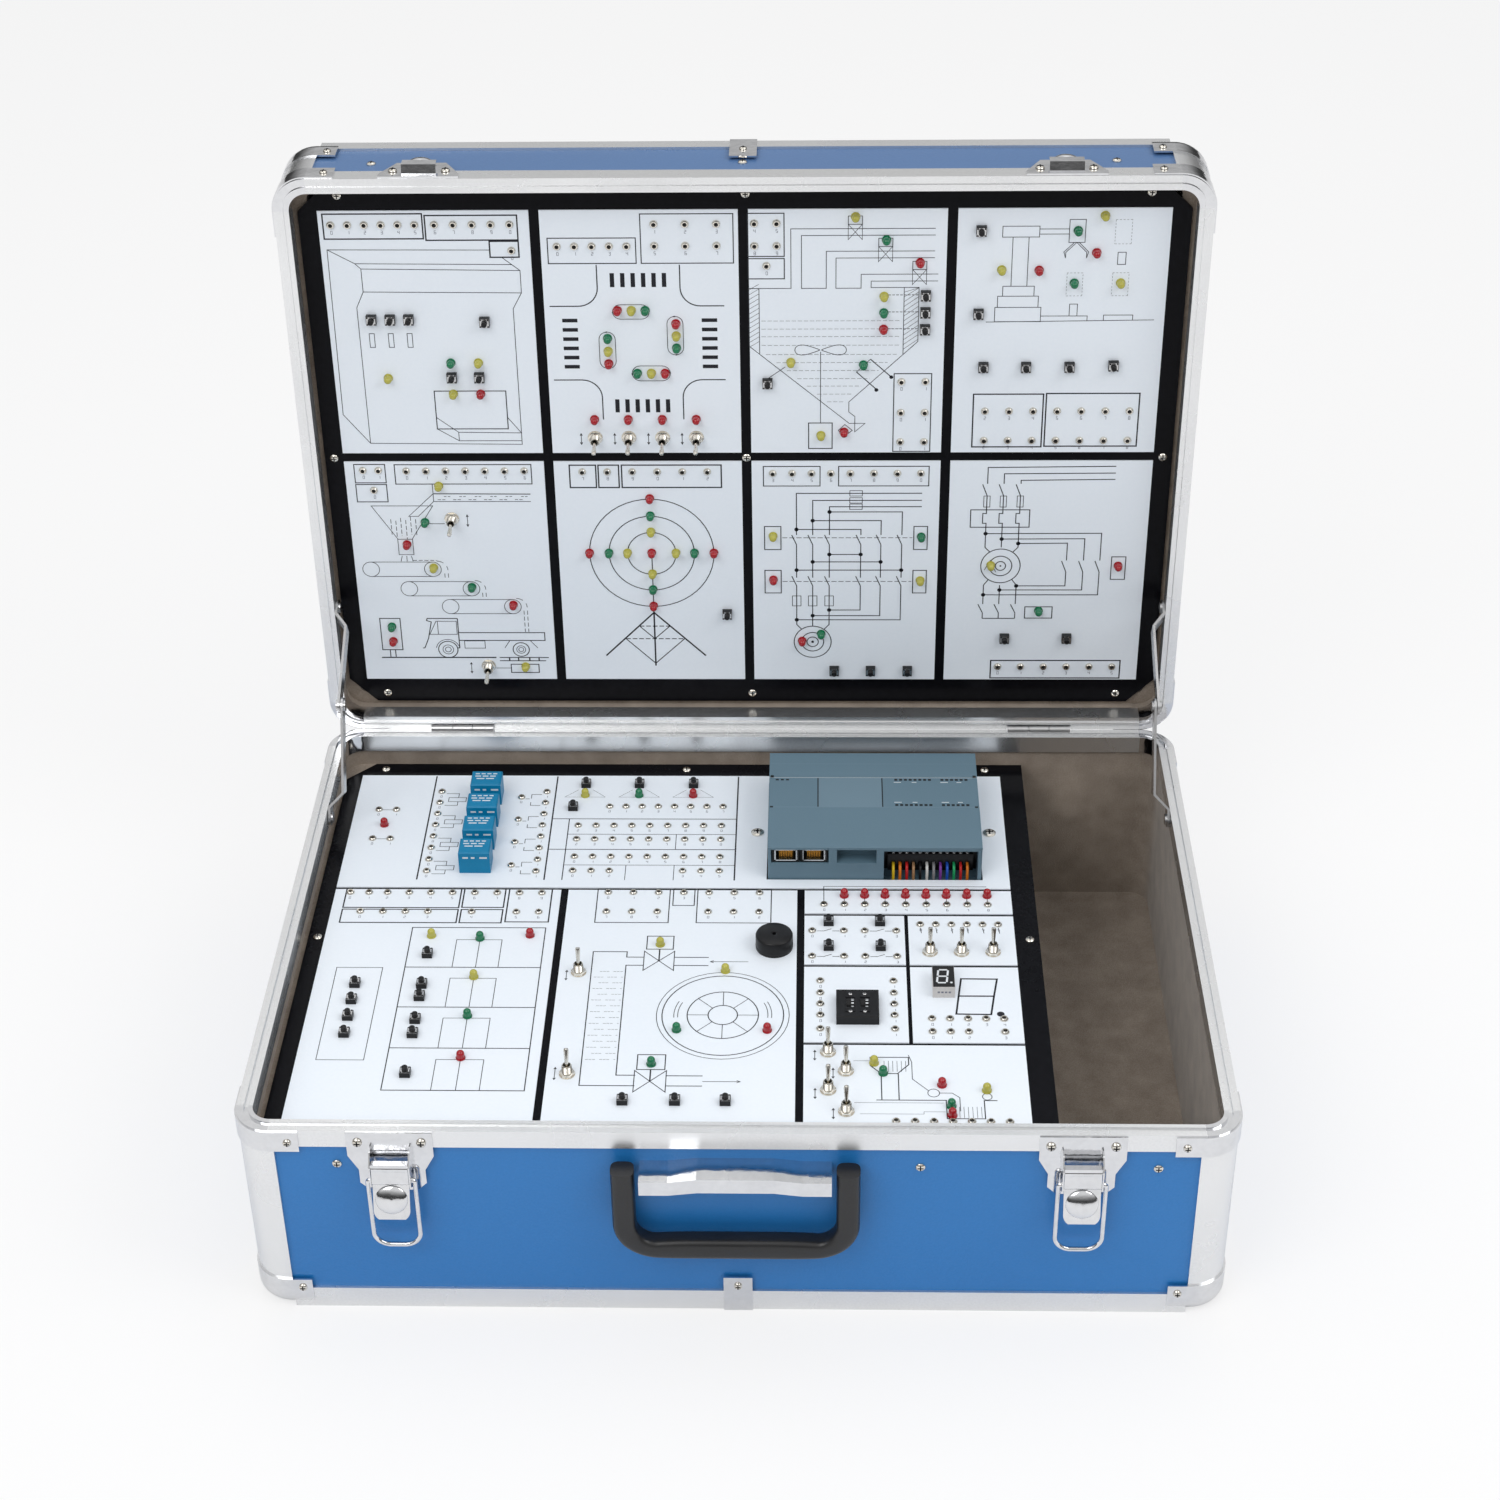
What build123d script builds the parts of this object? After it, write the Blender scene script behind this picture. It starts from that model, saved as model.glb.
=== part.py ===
from build123d import *
import math
import os

# Training case for programmable controllers: an aluminium framed case, open, with a board of
# switches, lamps and sockets in the base and another in the lid. Millimetres, +Z up, +Y to the
# hinges. The origin is the middle of the underside.

# Case, shut
case_width = 540
case_depth = 380
base_height = 132
lid_height = 54
corner_radius = 20
seam_gap = 0.3

# Aluminium frames, faced boards and felt
leg = 1.6
panel_thickness = 4
lining_thickness = 1.8
rim_height = 11.5
rim_web = 3
foot_height = 14
lid_edge_height = 9
post_reach = 22
groove_inset = 4
groove_width = 2.5
groove_depth = 1.6
tongue_width = 1
joint_gap = 0.1

# Chrome corner fittings
cap_thickness = 1
ear_reach = 36
ear_height = 13.5
ear_drop = 1
ball_reach = 33
ball_height = 21
ball_round = 9
clip_width = 16
clip_height = 25

# Hinges and lid stays
hinge_spacing = 372
hinge_length = 40
knuckle_radius = 2.8
pin_radius = 1.4
running_fit = 0.05
swing_gap = 0.5
leaf_thickness = 1.2
leaf_length = 27
stay_reach = 88
stay_drop = 7
stay_arm = 70
stay_width = 10
stay_thickness = 1.5
stay_stand_off = 7.1
stay_gap = 0.4
rivet_radius = 3.5
rivet_height = 1.2

# Boards
lid_recess = 16
base_recess = 20
board_thickness = 3
plate_thickness = 0.8
board_gap = 3.1
board_chamfer = 17
board_left_to_right = 434.5
ledge_width = 9
ledge_height = 12

# Printed plates: margins and gaps on the black boards
lid_plate_side = 11.5
lid_plate_top = 16
lid_plate_bottom = 17.5
lid_plate_gap = 6
lid_middle_columns = 0.242
base_plate_left = 10
base_plate_right = 14.5
base_plate_end = 14
base_strip = 4.5

# Size of the drawing that the places of the board items are taken from
drawing_width = 519
drawing_depth = 359
drawing_board_width = 434.5
drawing_board_middle = -42.25

# Board items
socket_size = 4.6
socket_height = 1.4
led_radius = 2.5
led_height = 8
button_size = 6
button_height = 3.6
cap_radius = 1.75
cap_height = 3
cap_seat = 0.6
button_travel = 0.3
nut_size = 7.8
nut_height = 2
bushing_radius = 2.9
bushing_bore = 2.2
bushing_height = 7
lever_radius = 1.2
lever_tip_radius = 1.5
lever_length = 12.5
lever_pivot_height = 4.5
lever_tilt = 12
screw_radius = 2.6
screw_height = 1.6
board_screw_end = 24
board_screw_edge = 6.5
board_screw_side = 5.75
board_screw_middle = 1.5
case_screw_end = 55
case_screw_near = 44
case_screw_middle = 99
case_screw_drop = 25

# Controller on its rail
controller_width = 130
controller_length = 100
controller_depth = 75
controller_stands_out = 24
controller_gap = 0.8
cover_thickness = 1.6
rail_width = 35
rail_height = 7.5
rail_thickness = 1.2
rail_forward = 3.1
rail_screw_gap = 7.15
rail_end = 6.85
rail_flange = 8
rail_web_gap = 20
standoff_radius = 4
rail_screw_radius = 4
cover_strip = 31.6
cover_strip_place = 8
rear_cover = 26
front_cover = 42
port_drop = 7
port_height = 10
jack_frame_width = 35
jack_frame_place = -45.5
jack_pitch = 17
jack_body_width = 16.4
jack_width = 12
jack_height = 7
jack_floor = 3
blank_port_width = 24
blank_port_place = -11
port_depth = 9
pocket_width = 57
pocket_height = 30
pocket_drop = 18
pocket_depth = 14
terminal_place = 34
terminal_width = 56.4
terminal_block_height = 21.6
terminal_block_drop = 14
terminal_nose_width = 52
terminal_nose_height = 12
terminal_nose_drop = 17
terminal_step = 8
terminal_set_back = 4
terminal_hole = 2.8
terminal_hole_depth = 2
wire_radius = 0.9
wire_pitch = 4.1
wire_count = 12
wire_height = -18
wire_out = 4
wire_drop = 12

# Other board pieces
relay_width = 19.2
relay_depth = 15.4
relay_height = 15.4
relay_pitch = 23.8
buzzer_radius = 11
buzzer_height = 10
buzzer_hole = 1.2
display_width = 12.7
display_length = 19
display_height = 8
dial_size = 24.4
dial_height = 6
dial_wall = 1.6
wheel_sink = 1.2
wheel_radius = 3.1
wheel_width = 4.6
wheel_pitch = 8.2
wheel_bore = 0.9

# Latches and their catches
latch_spacing = 370
latch_width = 46.5
latch_neck = 36
latch_height = 41.5
latch_top_drop = 0.6
latch_thickness = 1.2
cheek_gap = 0.3
lever_half_width = 9.9
cheek_thickness = 0.8
cheek_depth = 10
latch_pivot_drop = 20
latch_pivot_out = 7
latch_lever_length = 30
bail_pivot_drop = 29.5
bail_pivot_out = 6.5
bail_length = 49
bail_radius = 1.4
bail_turn = 1.5
bail_bend = 9
catch_length = 20
hook_height = 5

# Handle
handle_width = 121
handle_drop = 56.5
handle_section_width = 13
handle_section_depth = 12
handle_bend = 13
handle_pivot_radius = 2.5
bracket_width = 103
bracket_depth = 15.5
bracket_height = 9.5
bracket_drop = 21.5
bracket_crank = 2
bracket_wall = 2
handle_pivot_drop = 25.5
handle_pivot_out = 7.5

# Sizes worked out from those above
rim_width = 2 * leg + panel_thickness + lining_thickness
wall = leg + panel_thickness
back_y = case_depth / 2
front_y = -case_depth / 2
lid_middle_z = base_height + case_depth / 2
inner_half_width = case_width / 2 - wall - lining_thickness
board_left = -inner_half_width + board_gap
board_right = board_left + board_left_to_right
board_middle_x = (board_left + board_right) / 2
board_depth = case_depth - 2 * (wall + lining_thickness + board_gap)
lid_board_width = 2 * (inner_half_width - board_gap)
base_top = base_height - base_recess
across = lid_board_width / drawing_width
along = board_depth / drawing_depth
base_across = board_left_to_right / drawing_board_width
floor_z = panel_thickness + lining_thickness


def base_at(depth):
    # level plane, depth below the base's rim
    return Plane.XY.offset(base_height - depth)


def lid_at(depth):
    # upright plane, depth behind the rim of the open lid, facing out of it
    return Plane(origin=(0, back_y + depth, lid_middle_z), x_dir=(1, 0, 0), z_dir=(0, -1, 0))


base_half = {"at": base_at, "height": base_height, "edge": foot_height, "hinge": 1}
lid_half = {"at": lid_at, "height": lid_height, "edge": lid_edge_height, "hinge": -1}
front_face = Plane(origin=(0, front_y, base_height), x_dir=(1, 0, 0), z_dir=(0, -1, 0))
lid_front_face = Plane(
    origin=(0, back_y, base_height + case_depth), x_dir=(1, 0, 0), z_dir=(0, 0, 1)
)


def save(piece, name):
    piece.part.label = name
    export_step(piece.part, f"parts/{name}.step")


def outline(inset, mode=Mode.ADD):
    RectangleRounded(
        case_width - 2 * inset, case_depth - 2 * inset, corner_radius - inset, mode=mode
    )


def corner_squares(reach, mode):
    # squares over the four corners, past the outside by half the corner's reach
    past = reach / 2
    with GridLocations(case_width - reach + past, case_depth - reach + past, 2, 2):
        Rectangle(reach + past, reach + past, mode=mode)


def middle_cross(reach, mode):
    # everything but the four corner squares
    Rectangle(case_width - 2 * reach, 2 * case_depth, mode=mode)
    Rectangle(2 * case_width, case_depth - 2 * reach, mode=mode)


def cut_hinge_notches():
    # round room for the hinge knuckles in the outer corner of a rim
    for x in (-hinge_spacing / 2, hinge_spacing / 2):
        with BuildSketch(Plane.YZ.offset(x - hinge_length / 2 - swing_gap)) as shape:
            with Locations((back_y, base_height)):
                Circle(knuckle_radius + swing_gap)
        extrude(shape.sketch, amount=hinge_length + 2 * swing_gap, mode=Mode.SUBTRACT)


def rim_profile(half, pick):
    # channel that clasps boards and lining, with a groove in the base's rim and a tongue on the
    # lid's; pick keeps the straight runs or the corners
    seam = half["at"](seam_gap / 2)
    with BuildSketch(seam) as shape:
        outline(0)
        outline(rim_width, Mode.SUBTRACT)
        pick(corner_radius, Mode.SUBTRACT)
    extrude(shape.sketch, amount=-rim_height)
    with BuildSketch(seam.offset(-rim_web)) as shape:
        outline(leg)
        outline(rim_width - leg, Mode.SUBTRACT)
    extrude(shape.sketch, amount=-rim_height, mode=Mode.SUBTRACT)
    with BuildSketch(seam) as shape:
        if half is base_half:
            outline(groove_inset)
            outline(groove_inset + groove_width, Mode.SUBTRACT)
        else:
            middle = groove_inset + (groove_width - tongue_width) / 2
            outline(middle)
            outline(middle + tongue_width, Mode.SUBTRACT)
            pick(corner_radius, Mode.SUBTRACT)
    if half is base_half:
        extrude(shape.sketch, amount=-groove_depth, mode=Mode.SUBTRACT)
    else:
        extrude(shape.sketch, amount=groove_depth - 2 * seam_gap)


def make_rim_frame(half, name):
    with BuildPart() as rim:
        rim_profile(half, corner_squares)
        cut_hinge_notches()
    save(rim, name)


def make_edge_frame(half, name):
    # flat band round the outer edge, between the corner castings
    with BuildPart() as band:
        with BuildSketch(half["at"](half["height"])):
            outline(0)
            outline(leg, Mode.SUBTRACT)
            corner_squares(post_reach, Mode.SUBTRACT)
        extrude(amount=half["edge"])
    save(band, name)


def make_panels(half, name):
    rise = half["height"] - seam_gap / 2 - rim_web - joint_gap
    with BuildPart() as panels:
        with BuildSketch(half["at"](half["height"])):
            outline(wall + joint_gap)
        extrude(amount=panel_thickness)
        with BuildSketch(half["at"](half["height"])):
            with GridLocations(0, case_depth - 2 * leg - panel_thickness, 1, 2):
                Rectangle(case_width - 2 * post_reach, panel_thickness)
            with GridLocations(case_width - 2 * leg - panel_thickness, 0, 2, 1):
                Rectangle(panel_thickness, case_depth - 2 * post_reach)
        extrude(amount=rise)
    save(panels, name)


def make_corner_posts(half, name):
    # rounded corner extrusions between the castings and the rim
    with BuildPart() as posts:
        with BuildSketch(half["at"](half["height"] - ball_height)):
            outline(0)
            outline(wall, Mode.SUBTRACT)
            middle_cross(post_reach, Mode.SUBTRACT)
        extrude(amount=half["height"] - ball_height - rim_height - seam_gap / 2)
        with BuildSketch(half["at"](rim_height + seam_gap / 2)):
            outline(leg)
            outline(wall, Mode.SUBTRACT)
            middle_cross(post_reach, Mode.SUBTRACT)
        extrude(amount=rim_height - rim_web - joint_gap)
    save(posts, name)


def make_corner_fittings(half, name):
    outer = half["at"](half["height"])
    with BuildPart() as fittings:
        # rounded castings at the outer corners, with thin ears along the boards
        with BuildSketch(outer):
            outline(-cap_thickness)
        extrude(amount=ball_height)
        # these edges lie in the outer face
        rim_edges = fittings.edges().group_by(Axis((0, 0, 0), tuple(outer.z_dir)))[0]
        fillet(rim_edges, ball_round)
        with BuildSketch(outer):
            outline(wall)
        extrude(amount=ball_height, mode=Mode.SUBTRACT)
        with BuildSketch(outer):
            middle_cross(ball_reach, Mode.ADD)
        extrude(amount=ball_height, mode=Mode.SUBTRACT)
        with BuildSketch(outer):
            outline(0)
            corner_squares(post_reach, Mode.SUBTRACT)
        extrude(amount=ball_height, mode=Mode.SUBTRACT)
        # ridged corners of the rim, each with two riveted ears
        rim_profile(half, middle_cross)
        with BuildSketch(half["at"](ear_drop)):
            outline(-cap_thickness)
            outline(0, Mode.SUBTRACT)
            middle_cross(ear_reach, Mode.SUBTRACT)
        extrude(amount=-ear_height)
        # clip over the joint of the edge band, at the middle of the front
        with BuildSketch(half["at"](half["height"])):
            with Locations((0, -half["hinge"] * (case_depth + cap_thickness) / 2)):
                Rectangle(clip_width, cap_thickness)
        extrude(amount=clip_height)
    save(fittings, name)


def make_lining(half, name, recess):
    # felt tray with a ledge under the edge of the board
    back = half["at"](half["height"] - panel_thickness)
    rise = half["height"] - panel_thickness - rim_web - seam_gap / 2 - joint_gap
    ledge_top = half["height"] - floor_z - recess - board_thickness
    with BuildPart() as lining:
        with BuildSketch(back):
            outline(wall + joint_gap)
        extrude(amount=rise)
        with BuildSketch(back.offset(lining_thickness)):
            outline(wall + lining_thickness)
        extrude(amount=rise, mode=Mode.SUBTRACT)
        with BuildSketch(back.offset(lining_thickness + ledge_top - ledge_height)):
            outline(wall + lining_thickness)
            outline(wall + lining_thickness + ledge_width, Mode.SUBTRACT)
            if half is base_half:
                with Locations((case_width / 2 + board_right - board_thickness - joint_gap, 0)):
                    Rectangle(case_width, case_depth, mode=Mode.SUBTRACT)
        extrude(amount=ledge_height)
    save(lining, name)


def board_shape(left, right, chamfers):
    # rectangle with the named corners cut off
    half_depth = board_depth / 2
    cut = board_chamfer
    Polygon(
        (left, -half_depth + cut),
        (left, half_depth - cut),
        (left + cut, half_depth),
        (right - cut * chamfers, half_depth),
        (right, half_depth - cut * chamfers),
        (right, -half_depth + cut * chamfers),
        (right - cut * chamfers, -half_depth),
        (left + cut, -half_depth),
        align=None,
    )


def make_base_board():
    board_face = base_at(base_recess + plate_thickness)
    cut = board_chamfer
    with BuildPart() as board:
        with BuildSketch(board_face):
            Polygon(
                (board_left, -board_depth / 2 + cut),
                (board_left, board_depth / 2 - cut),
                (board_left + cut, board_depth / 2),
                (board_right, board_depth / 2),
                (board_right, -board_depth / 2),
                (board_left + cut, -board_depth / 2),
                align=None,
            )
            with Locations(controller_place):
                Rectangle(
                    controller_width + 2 * controller_gap,
                    controller_length + 2 * controller_gap,
                    mode=Mode.SUBTRACT,
                )
        extrude(amount=-board_thickness + plate_thickness)
        # folded side that makes the wall of the storage space
        with BuildSketch(board_face):
            with Locations((board_right - board_thickness / 2, 0)):
                Rectangle(board_thickness, board_depth)
        extrude(amount=-(base_top - plate_thickness - floor_z - joint_gap))
    save(board, "base_board")


def base_spot(x, y):
    # a place on the base's board, from the drawing
    return (board_middle_x + (x - drawing_board_middle) * base_across, y * along)


controller_place = base_spot(78.5, 107.5)
rail_screws = [
    (controller_place[0] + side * (controller_width / 2 + rail_screw_gap), controller_place[1] - rail_forward)
    for side in (-1, 1)
]


def lid_spot(x, up):
    # a place on the lid's board, from the drawing; up is the height above the lid's lower edge
    return (x * across, (up - drawing_depth / 2 - 10.5) * along)


def plate(left, right, low, high):
    with Locations(((left + right) / 2, (low + high) / 2)):
        Rectangle(right - left, high - low)


def make_base_plates():
    left = board_left + base_plate_left
    right = board_right - base_plate_right
    end = board_depth / 2 - base_plate_end
    row = base_spot(0, 47)[1]
    first = base_spot(-109.6, 0)[0]
    second = base_spot(33.8, 0)[0]
    third = base_spot(96.6, 0)[0]
    half = base_strip / 2
    thin = base_strip / 4
    cuts = [base_spot(0, y)[1] for y in (22.5, -25.5, -94.5)]
    with BuildPart() as plates:
        with BuildSketch(base_at(base_recess)):
            plate(left, right, row + thin, end)
            plate(left, first - half, -end, row - thin)
            plate(first + half, second - half, -end, row - thin)
            plate(second + half, right, cuts[0] + thin, row - thin)
            plate(second + half, third - thin, cuts[1] + thin, cuts[0] - thin)
            plate(third + thin, right, cuts[1] + thin, cuts[0] - thin)
            plate(second + half, third - thin, cuts[2] + thin, cuts[1] - thin)
            plate(third + thin, right, cuts[2] + thin, cuts[1] - thin)
            plate(second + half, right, -end, cuts[2] - thin)
            with Locations(controller_place):
                Rectangle(
                    controller_width + 2 * controller_gap,
                    controller_length + 2 * controller_gap,
                    mode=Mode.SUBTRACT,
                )
        extrude(amount=-plate_thickness)
    save(plates, "base_plates")


def make_lid_board():
    with BuildPart() as board:
        with BuildSketch(lid_at(lid_recess + plate_thickness)):
            board_shape(-lid_board_width / 2, lid_board_width / 2, 1)
        extrude(amount=-board_thickness + plate_thickness)
    save(board, "lid_board")


def make_lid_plates():
    left = -lid_board_width / 2 + lid_plate_side
    width = -2 * left - 3 * lid_plate_gap
    middle = width * lid_middle_columns
    outer = width / 2 - middle
    low = -board_depth / 2 + lid_plate_bottom
    high = board_depth / 2 - lid_plate_top
    tall = (high - low - lid_plate_gap) / 2
    with BuildPart() as plates:
        with BuildSketch(lid_at(lid_recess)):
            for row in range(2):
                x = left
                y = low + row * (tall + lid_plate_gap)
                for wide in (outer, middle, middle, outer):
                    plate(x, x + wide, y, y + tall)
                    x += wide + lid_plate_gap
        extrude(amount=-plate_thickness)
    save(plates, "lid_plates")


# Places on the drawing of the base, in millimetres from the middle of the case

def run(first, pitch, count, y):
    return [(first + i * pitch, y) for i in range(count)]


def drawn_base(points):
    return [base_spot(x, y) for x, y in points]


def drawn_lid(points):
    return [lid_spot(x, up) for x, up in points]


relay_rows = [141.3 - i * relay_pitch for i in range(4)]
relay_x = -166.2
relay_sockets = [
    (x, y + side * relay_pitch / 4) for x in (-196.2, -129) for y in relay_rows for side in (-1, 1)
] + [(-144.7, y) for y in relay_rows]
power_sockets = [(x, y) for x in (-234, -223) for y in (97, 127.7)]
answer_sockets = run(-87.8, 10.26, 8, 131.6) + run(-106.4, 11.25, 9, 111.3)
answer_sockets += run(-106.4, 11.25, 9, 97) + run(-106.4, 11.25, 9, 79)
answer_sockets += run(-106.4, 11.25, 3, 64.7) + run(-38.9, 11.25, 3, 64.7)
lift_sockets = run(-240, 11.3, 3, 42.3) + run(-204.2, 13.2, 3, 42.3) + run(-164.2, 13.6, 4, 42.3)
lift_sockets += run(-231.5, 13.6, 4, 23.7) + [(-164.2, 23.7)] + run(-137.3, 13.5, 2, 23.7)
wash_sockets = run(-83.1, 15.3, 7, 43) + run(-83.1, 15.3, 3, 24.4) + run(-21.9, 15.3, 3, 24.4)
lamp_sockets = run(47.6, 12.3, 9, 32)
switch_sockets = [(x, y) for x in (40.6, 59.4, 71.8, 90.5) for y in (6.8, -17.1)]
toggle_sockets = run(104.9, 9.25, 6, 13)
dial_sockets = [(x, y) for x in (45.4, 87.8) for y in (-39.6, -50.4, -60.2, -70, -82)]
digit_sockets = run(109, 10.25, 5, -72.8) + run(109, 10.25, 3, -84.1) + [(150, -84.1)]
tower_sockets = run(86.6, 10.3, 7, -158.6)
base_sockets = power_sockets + relay_sockets + answer_sockets + lift_sockets + wash_sockets
base_sockets += lamp_sockets + switch_sockets + toggle_sockets + dial_sockets + digit_sockets
base_sockets += tower_sockets

base_leds = [(-228.5, 111.5), (-104.2, 143.5), (-69.8, 143.5), (-35.4, 143.5)]
base_leds += [(-185.7, 0.4), (-156.5, -2), (-127, 1.2), (-156.5, -37.6), (-156.5, -72.5)]
base_leds += [(-156.5, -108.5), (-49.1, -6.9), (-9.9, -31.1), (-36.2, -83.8), (15.3, -83.8)]
base_leds += [(-49.1, -113)] + run(59.9, 12.3, 8, 40.6)
base_leds += [(75.4, -111.2), (80.3, -119.5), (112.6, -129.1), (137.1, -133.5)]
base_leds += [(117.2, -146.3), (117.4, -153.7)]

base_buttons = [(-104.3, 154.8), (-70.1, 154.8), (-35.5, 154.8), (-110.9, 129.8)]
base_buttons += [(-186, y) for y in (-17.4, -45.3, -56.3, -76.5, -88.8, -122.4)]
base_buttons += [(-225, y) for y in (-44.8, -59.4, -74, -88.7)]
base_buttons += [(x, -144) for x in (-63.5, -34.6, -6.8)]
base_buttons += [(x, y) for x in (50.4, 81) for y in (14.3, -9)]

input_toggles = [(109.9, -13.1), (128.3, -13.1), (146.8, -13.1)]
wash_toggles = [(-95.6, -33), (-95.6, -121.7)]
tower_toggles = [(49.7, -102.3), (59.6, -118.2), (49.7, -133.9), (59.6, -151)]

# Places on the drawing of the lid, in millimetres from the middle and up from the lower edge

ring_radii = (15.2, 26.8, 39)

lid_sockets = run(-240.8, 9.82, 6, 344.8) + run(-180.1, 11, 5, 344.8) + [(-135.9, 328.3)]
lid_sockets += run(-109.2, 10.2, 5, 330.8)
lid_sockets += [(x, up) for x in (-52.1, -34, -15.7) for up in (344.6, 331)]
lid_sockets += [(x, up) for x in (6.4, 19.4) for up in (344.8, 330.7)] + [(13.3, 318)]
lid_sockets += [(x, up) for x in (93.7, 108.1) for up in (242, 221.2, 201.2)]
lid_sockets += run(144.4, 14.5, 7, 222) + run(144.4, 14.5, 7, 202)
lid_sockets += [(-236.8, 181.8), (-227.2, 181.8), (-231.1, 167.8)] + run(-210, 12.15, 7, 181.3)
lid_sockets += run(-101.3, 15.4, 6, 180.6)
lid_sockets += run(15.9, 11.9, 4, 179.3) + run(63.6, 14.4, 4, 179.3) + run(159, 14.6, 6, 37.9)

lid_leds = [(-176.8, 255.5), (-160.2, 255.5), (-215.4, 245.3), (-176.8, 234.6), (-160.2, 234.6)]
lid_leds += [(x, 289.7) for x in (-75.3, -67, -58.8)] + [(-81.8, up) for up in (271.5, 263, 254.7)]
lid_leds += [(-40.8, up) for up in (281, 273, 265)] + [(x, 248.3) for x in (-64.8, -56.4, -48.1)]
lid_leds += [(x, 217.1) for x in (-92, -71.5, -50.8, -30.2)]
lid_leds += [(65.3, 348.8), (83.4, 334.3), (103.3, 319.8), (82.5, 298.3), (82.5, 287.7)]
lid_leds += [(82.5, 277), (27.4, 255.3), (70.8, 253.5), (59.5, 208.2), (45.5, 205.9)]
lid_leds += [(209.4, 348.9), (194.3, 339.6), (205.7, 325.7), (151, 315), (172.8, 314.7)]
lid_leds += [(193.7, 306.4), (220.8, 306.4)]
lid_leds += [(-190.6, 171), (-201.1, 145.2), (-213.7, 129.2), (-198.2, 112.2), (-175, 97.9)]
lid_leds += [(-149.5, 84.7), (-228.4, 68.3), (-228.4, 57.3), (-144.4, 38)]
lid_leds += [(-60.3, 123)]
lid_leds += [(-60.3 + s * r, 123) for r in ring_radii for s in (-1, 1)]
lid_leds += [(-60.3, 123 + s * r) for r in ring_radii for s in (-1, 1)]
lid_leds += [(15.8, 135), (108, 134.5), (15.8, 103.3), (108, 102.7), (33.8, 57.7), (45.9, 63)]
lid_leds += [(151.9, 113.8), (231.3, 113.4), (183.2, 80.3)]

lid_buttons = [(-222.1, 284.4), (-210.9, 284.4), (-199.8, 284.4), (-154.6, 282.8)]
lid_buttons += [(-176.8, 246), (-160.2, 246)]
lid_buttons += [(107, 299), (107, 288), (107, 277), (13.3, 241.6)]
lid_buttons += [(138.3, 340), (138.3, 287), (142.4, 252), (167.8, 252), (193.7, 252), (219.8, 252.8)]
lid_buttons += [(-13.7, 78.1), (54.3, 35.3), (77.6, 35.3), (101.2, 35.3), (162.4, 60), (201.8, 60)]

crossing_toggles = [(-92.2, 204.6), (-71.6, 204.6), (-51, 204.6), (-30.4, 204.6)]
feed_toggles = [(-184.2, 147.6), (-168.3, 38.4)]

dial_place = (66.7, -66)
buzzer_place = (18.3, -8)
display_place = (116.4, -44.6)


def pegs(face, points, sides, size, height, taper=0):
    # many-sided pegs standing on a face
    with BuildSketch(face) as shape:
        with Locations(points):
            RegularPolygon(size, sides)
    extrude(shape.sketch, amount=height, taper=taper)


def make_sockets(face, points, name):
    with BuildPart() as sockets:
        pegs(face, points, 6, socket_size / 2, socket_height)
    save(sockets, name)


def make_leds(face, points, name):
    with BuildPart() as leds:
        pegs(face, points, 6, led_radius, led_height, taper=4)
    save(leds, name)


def board_screws(left, right):
    # along the upper and lower edges of a board, and one at each end
    ends = (left + board_screw_end, (left + right) / 2 + board_screw_middle, right - board_screw_end)
    edge = board_depth / 2 - board_screw_edge
    points = [(x, side * edge) for x in ends for side in (-1, 1)]
    return points + [(left + board_screw_side, 0), (right - board_screw_side, 0)]


def make_base_screws():
    # round heads on the board and over the rail, and case screws through the front
    ends = (case_screw_end - case_width / 2, case_screw_middle, case_width / 2 - case_screw_near)
    with BuildPart() as screws:
        points = board_screws(board_left, board_right)
        pegs(base_at(base_recess + plate_thickness), points, 8, screw_radius, screw_height)
        pegs(base_at(base_recess), rail_screws, 10, rail_screw_radius, screw_height)
        case_points = [(x, -case_screw_drop) for x in ends]
        pegs(front_face.offset(-leg), case_points, 8, screw_radius, screw_height)
    save(screws, "base_screws")


def make_lid_screws():
    # the same heads on the lid's board, with one more in the middle
    ends = (case_screw_end - case_width / 2, 0, case_width / 2 - case_screw_end)
    with BuildPart() as screws:
        points = board_screws(-lid_board_width / 2, lid_board_width / 2) + [(0, 0)]
        pegs(lid_at(lid_recess + plate_thickness), points, 8, screw_radius, screw_height)
        case_points = [(x, case_screw_drop) for x in ends]
        pegs(lid_front_face.offset(-leg), case_points, 8, screw_radius, screw_height)
    save(screws, "lid_screws")


def switch_bodies(face, buttons, toggles):
    # square button housings and threaded toggle bushings with their nuts
    with BuildSketch(face) as shape:
        with Locations(buttons):
            Rectangle(button_size, button_size)
    extrude(shape.sketch, amount=button_height)
    with BuildSketch(face.offset(button_height)) as bores:
        with Locations(buttons):
            RegularPolygon(cap_radius + 1.2 * running_fit, 8)
    extrude(bores.sketch, amount=-cap_seat - button_travel - running_fit, mode=Mode.SUBTRACT)
    pegs(face, toggles, 6, nut_size / math.sqrt(3), nut_height)
    pegs(face, toggles, 10, bushing_radius, bushing_height)
    with BuildSketch(face.offset(bushing_height)) as shape:
        with Locations(toggles):
            RegularPolygon(bushing_bore, 10)
    extrude(shape.sketch, amount=-(bushing_height - nut_height), mode=Mode.SUBTRACT)


def make_button_caps(face, buttons, name):
    with BuildPart() as caps:
        pegs(face.offset(button_height - cap_seat), buttons, 8, cap_radius, cap_height)
    save(caps, name)


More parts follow.
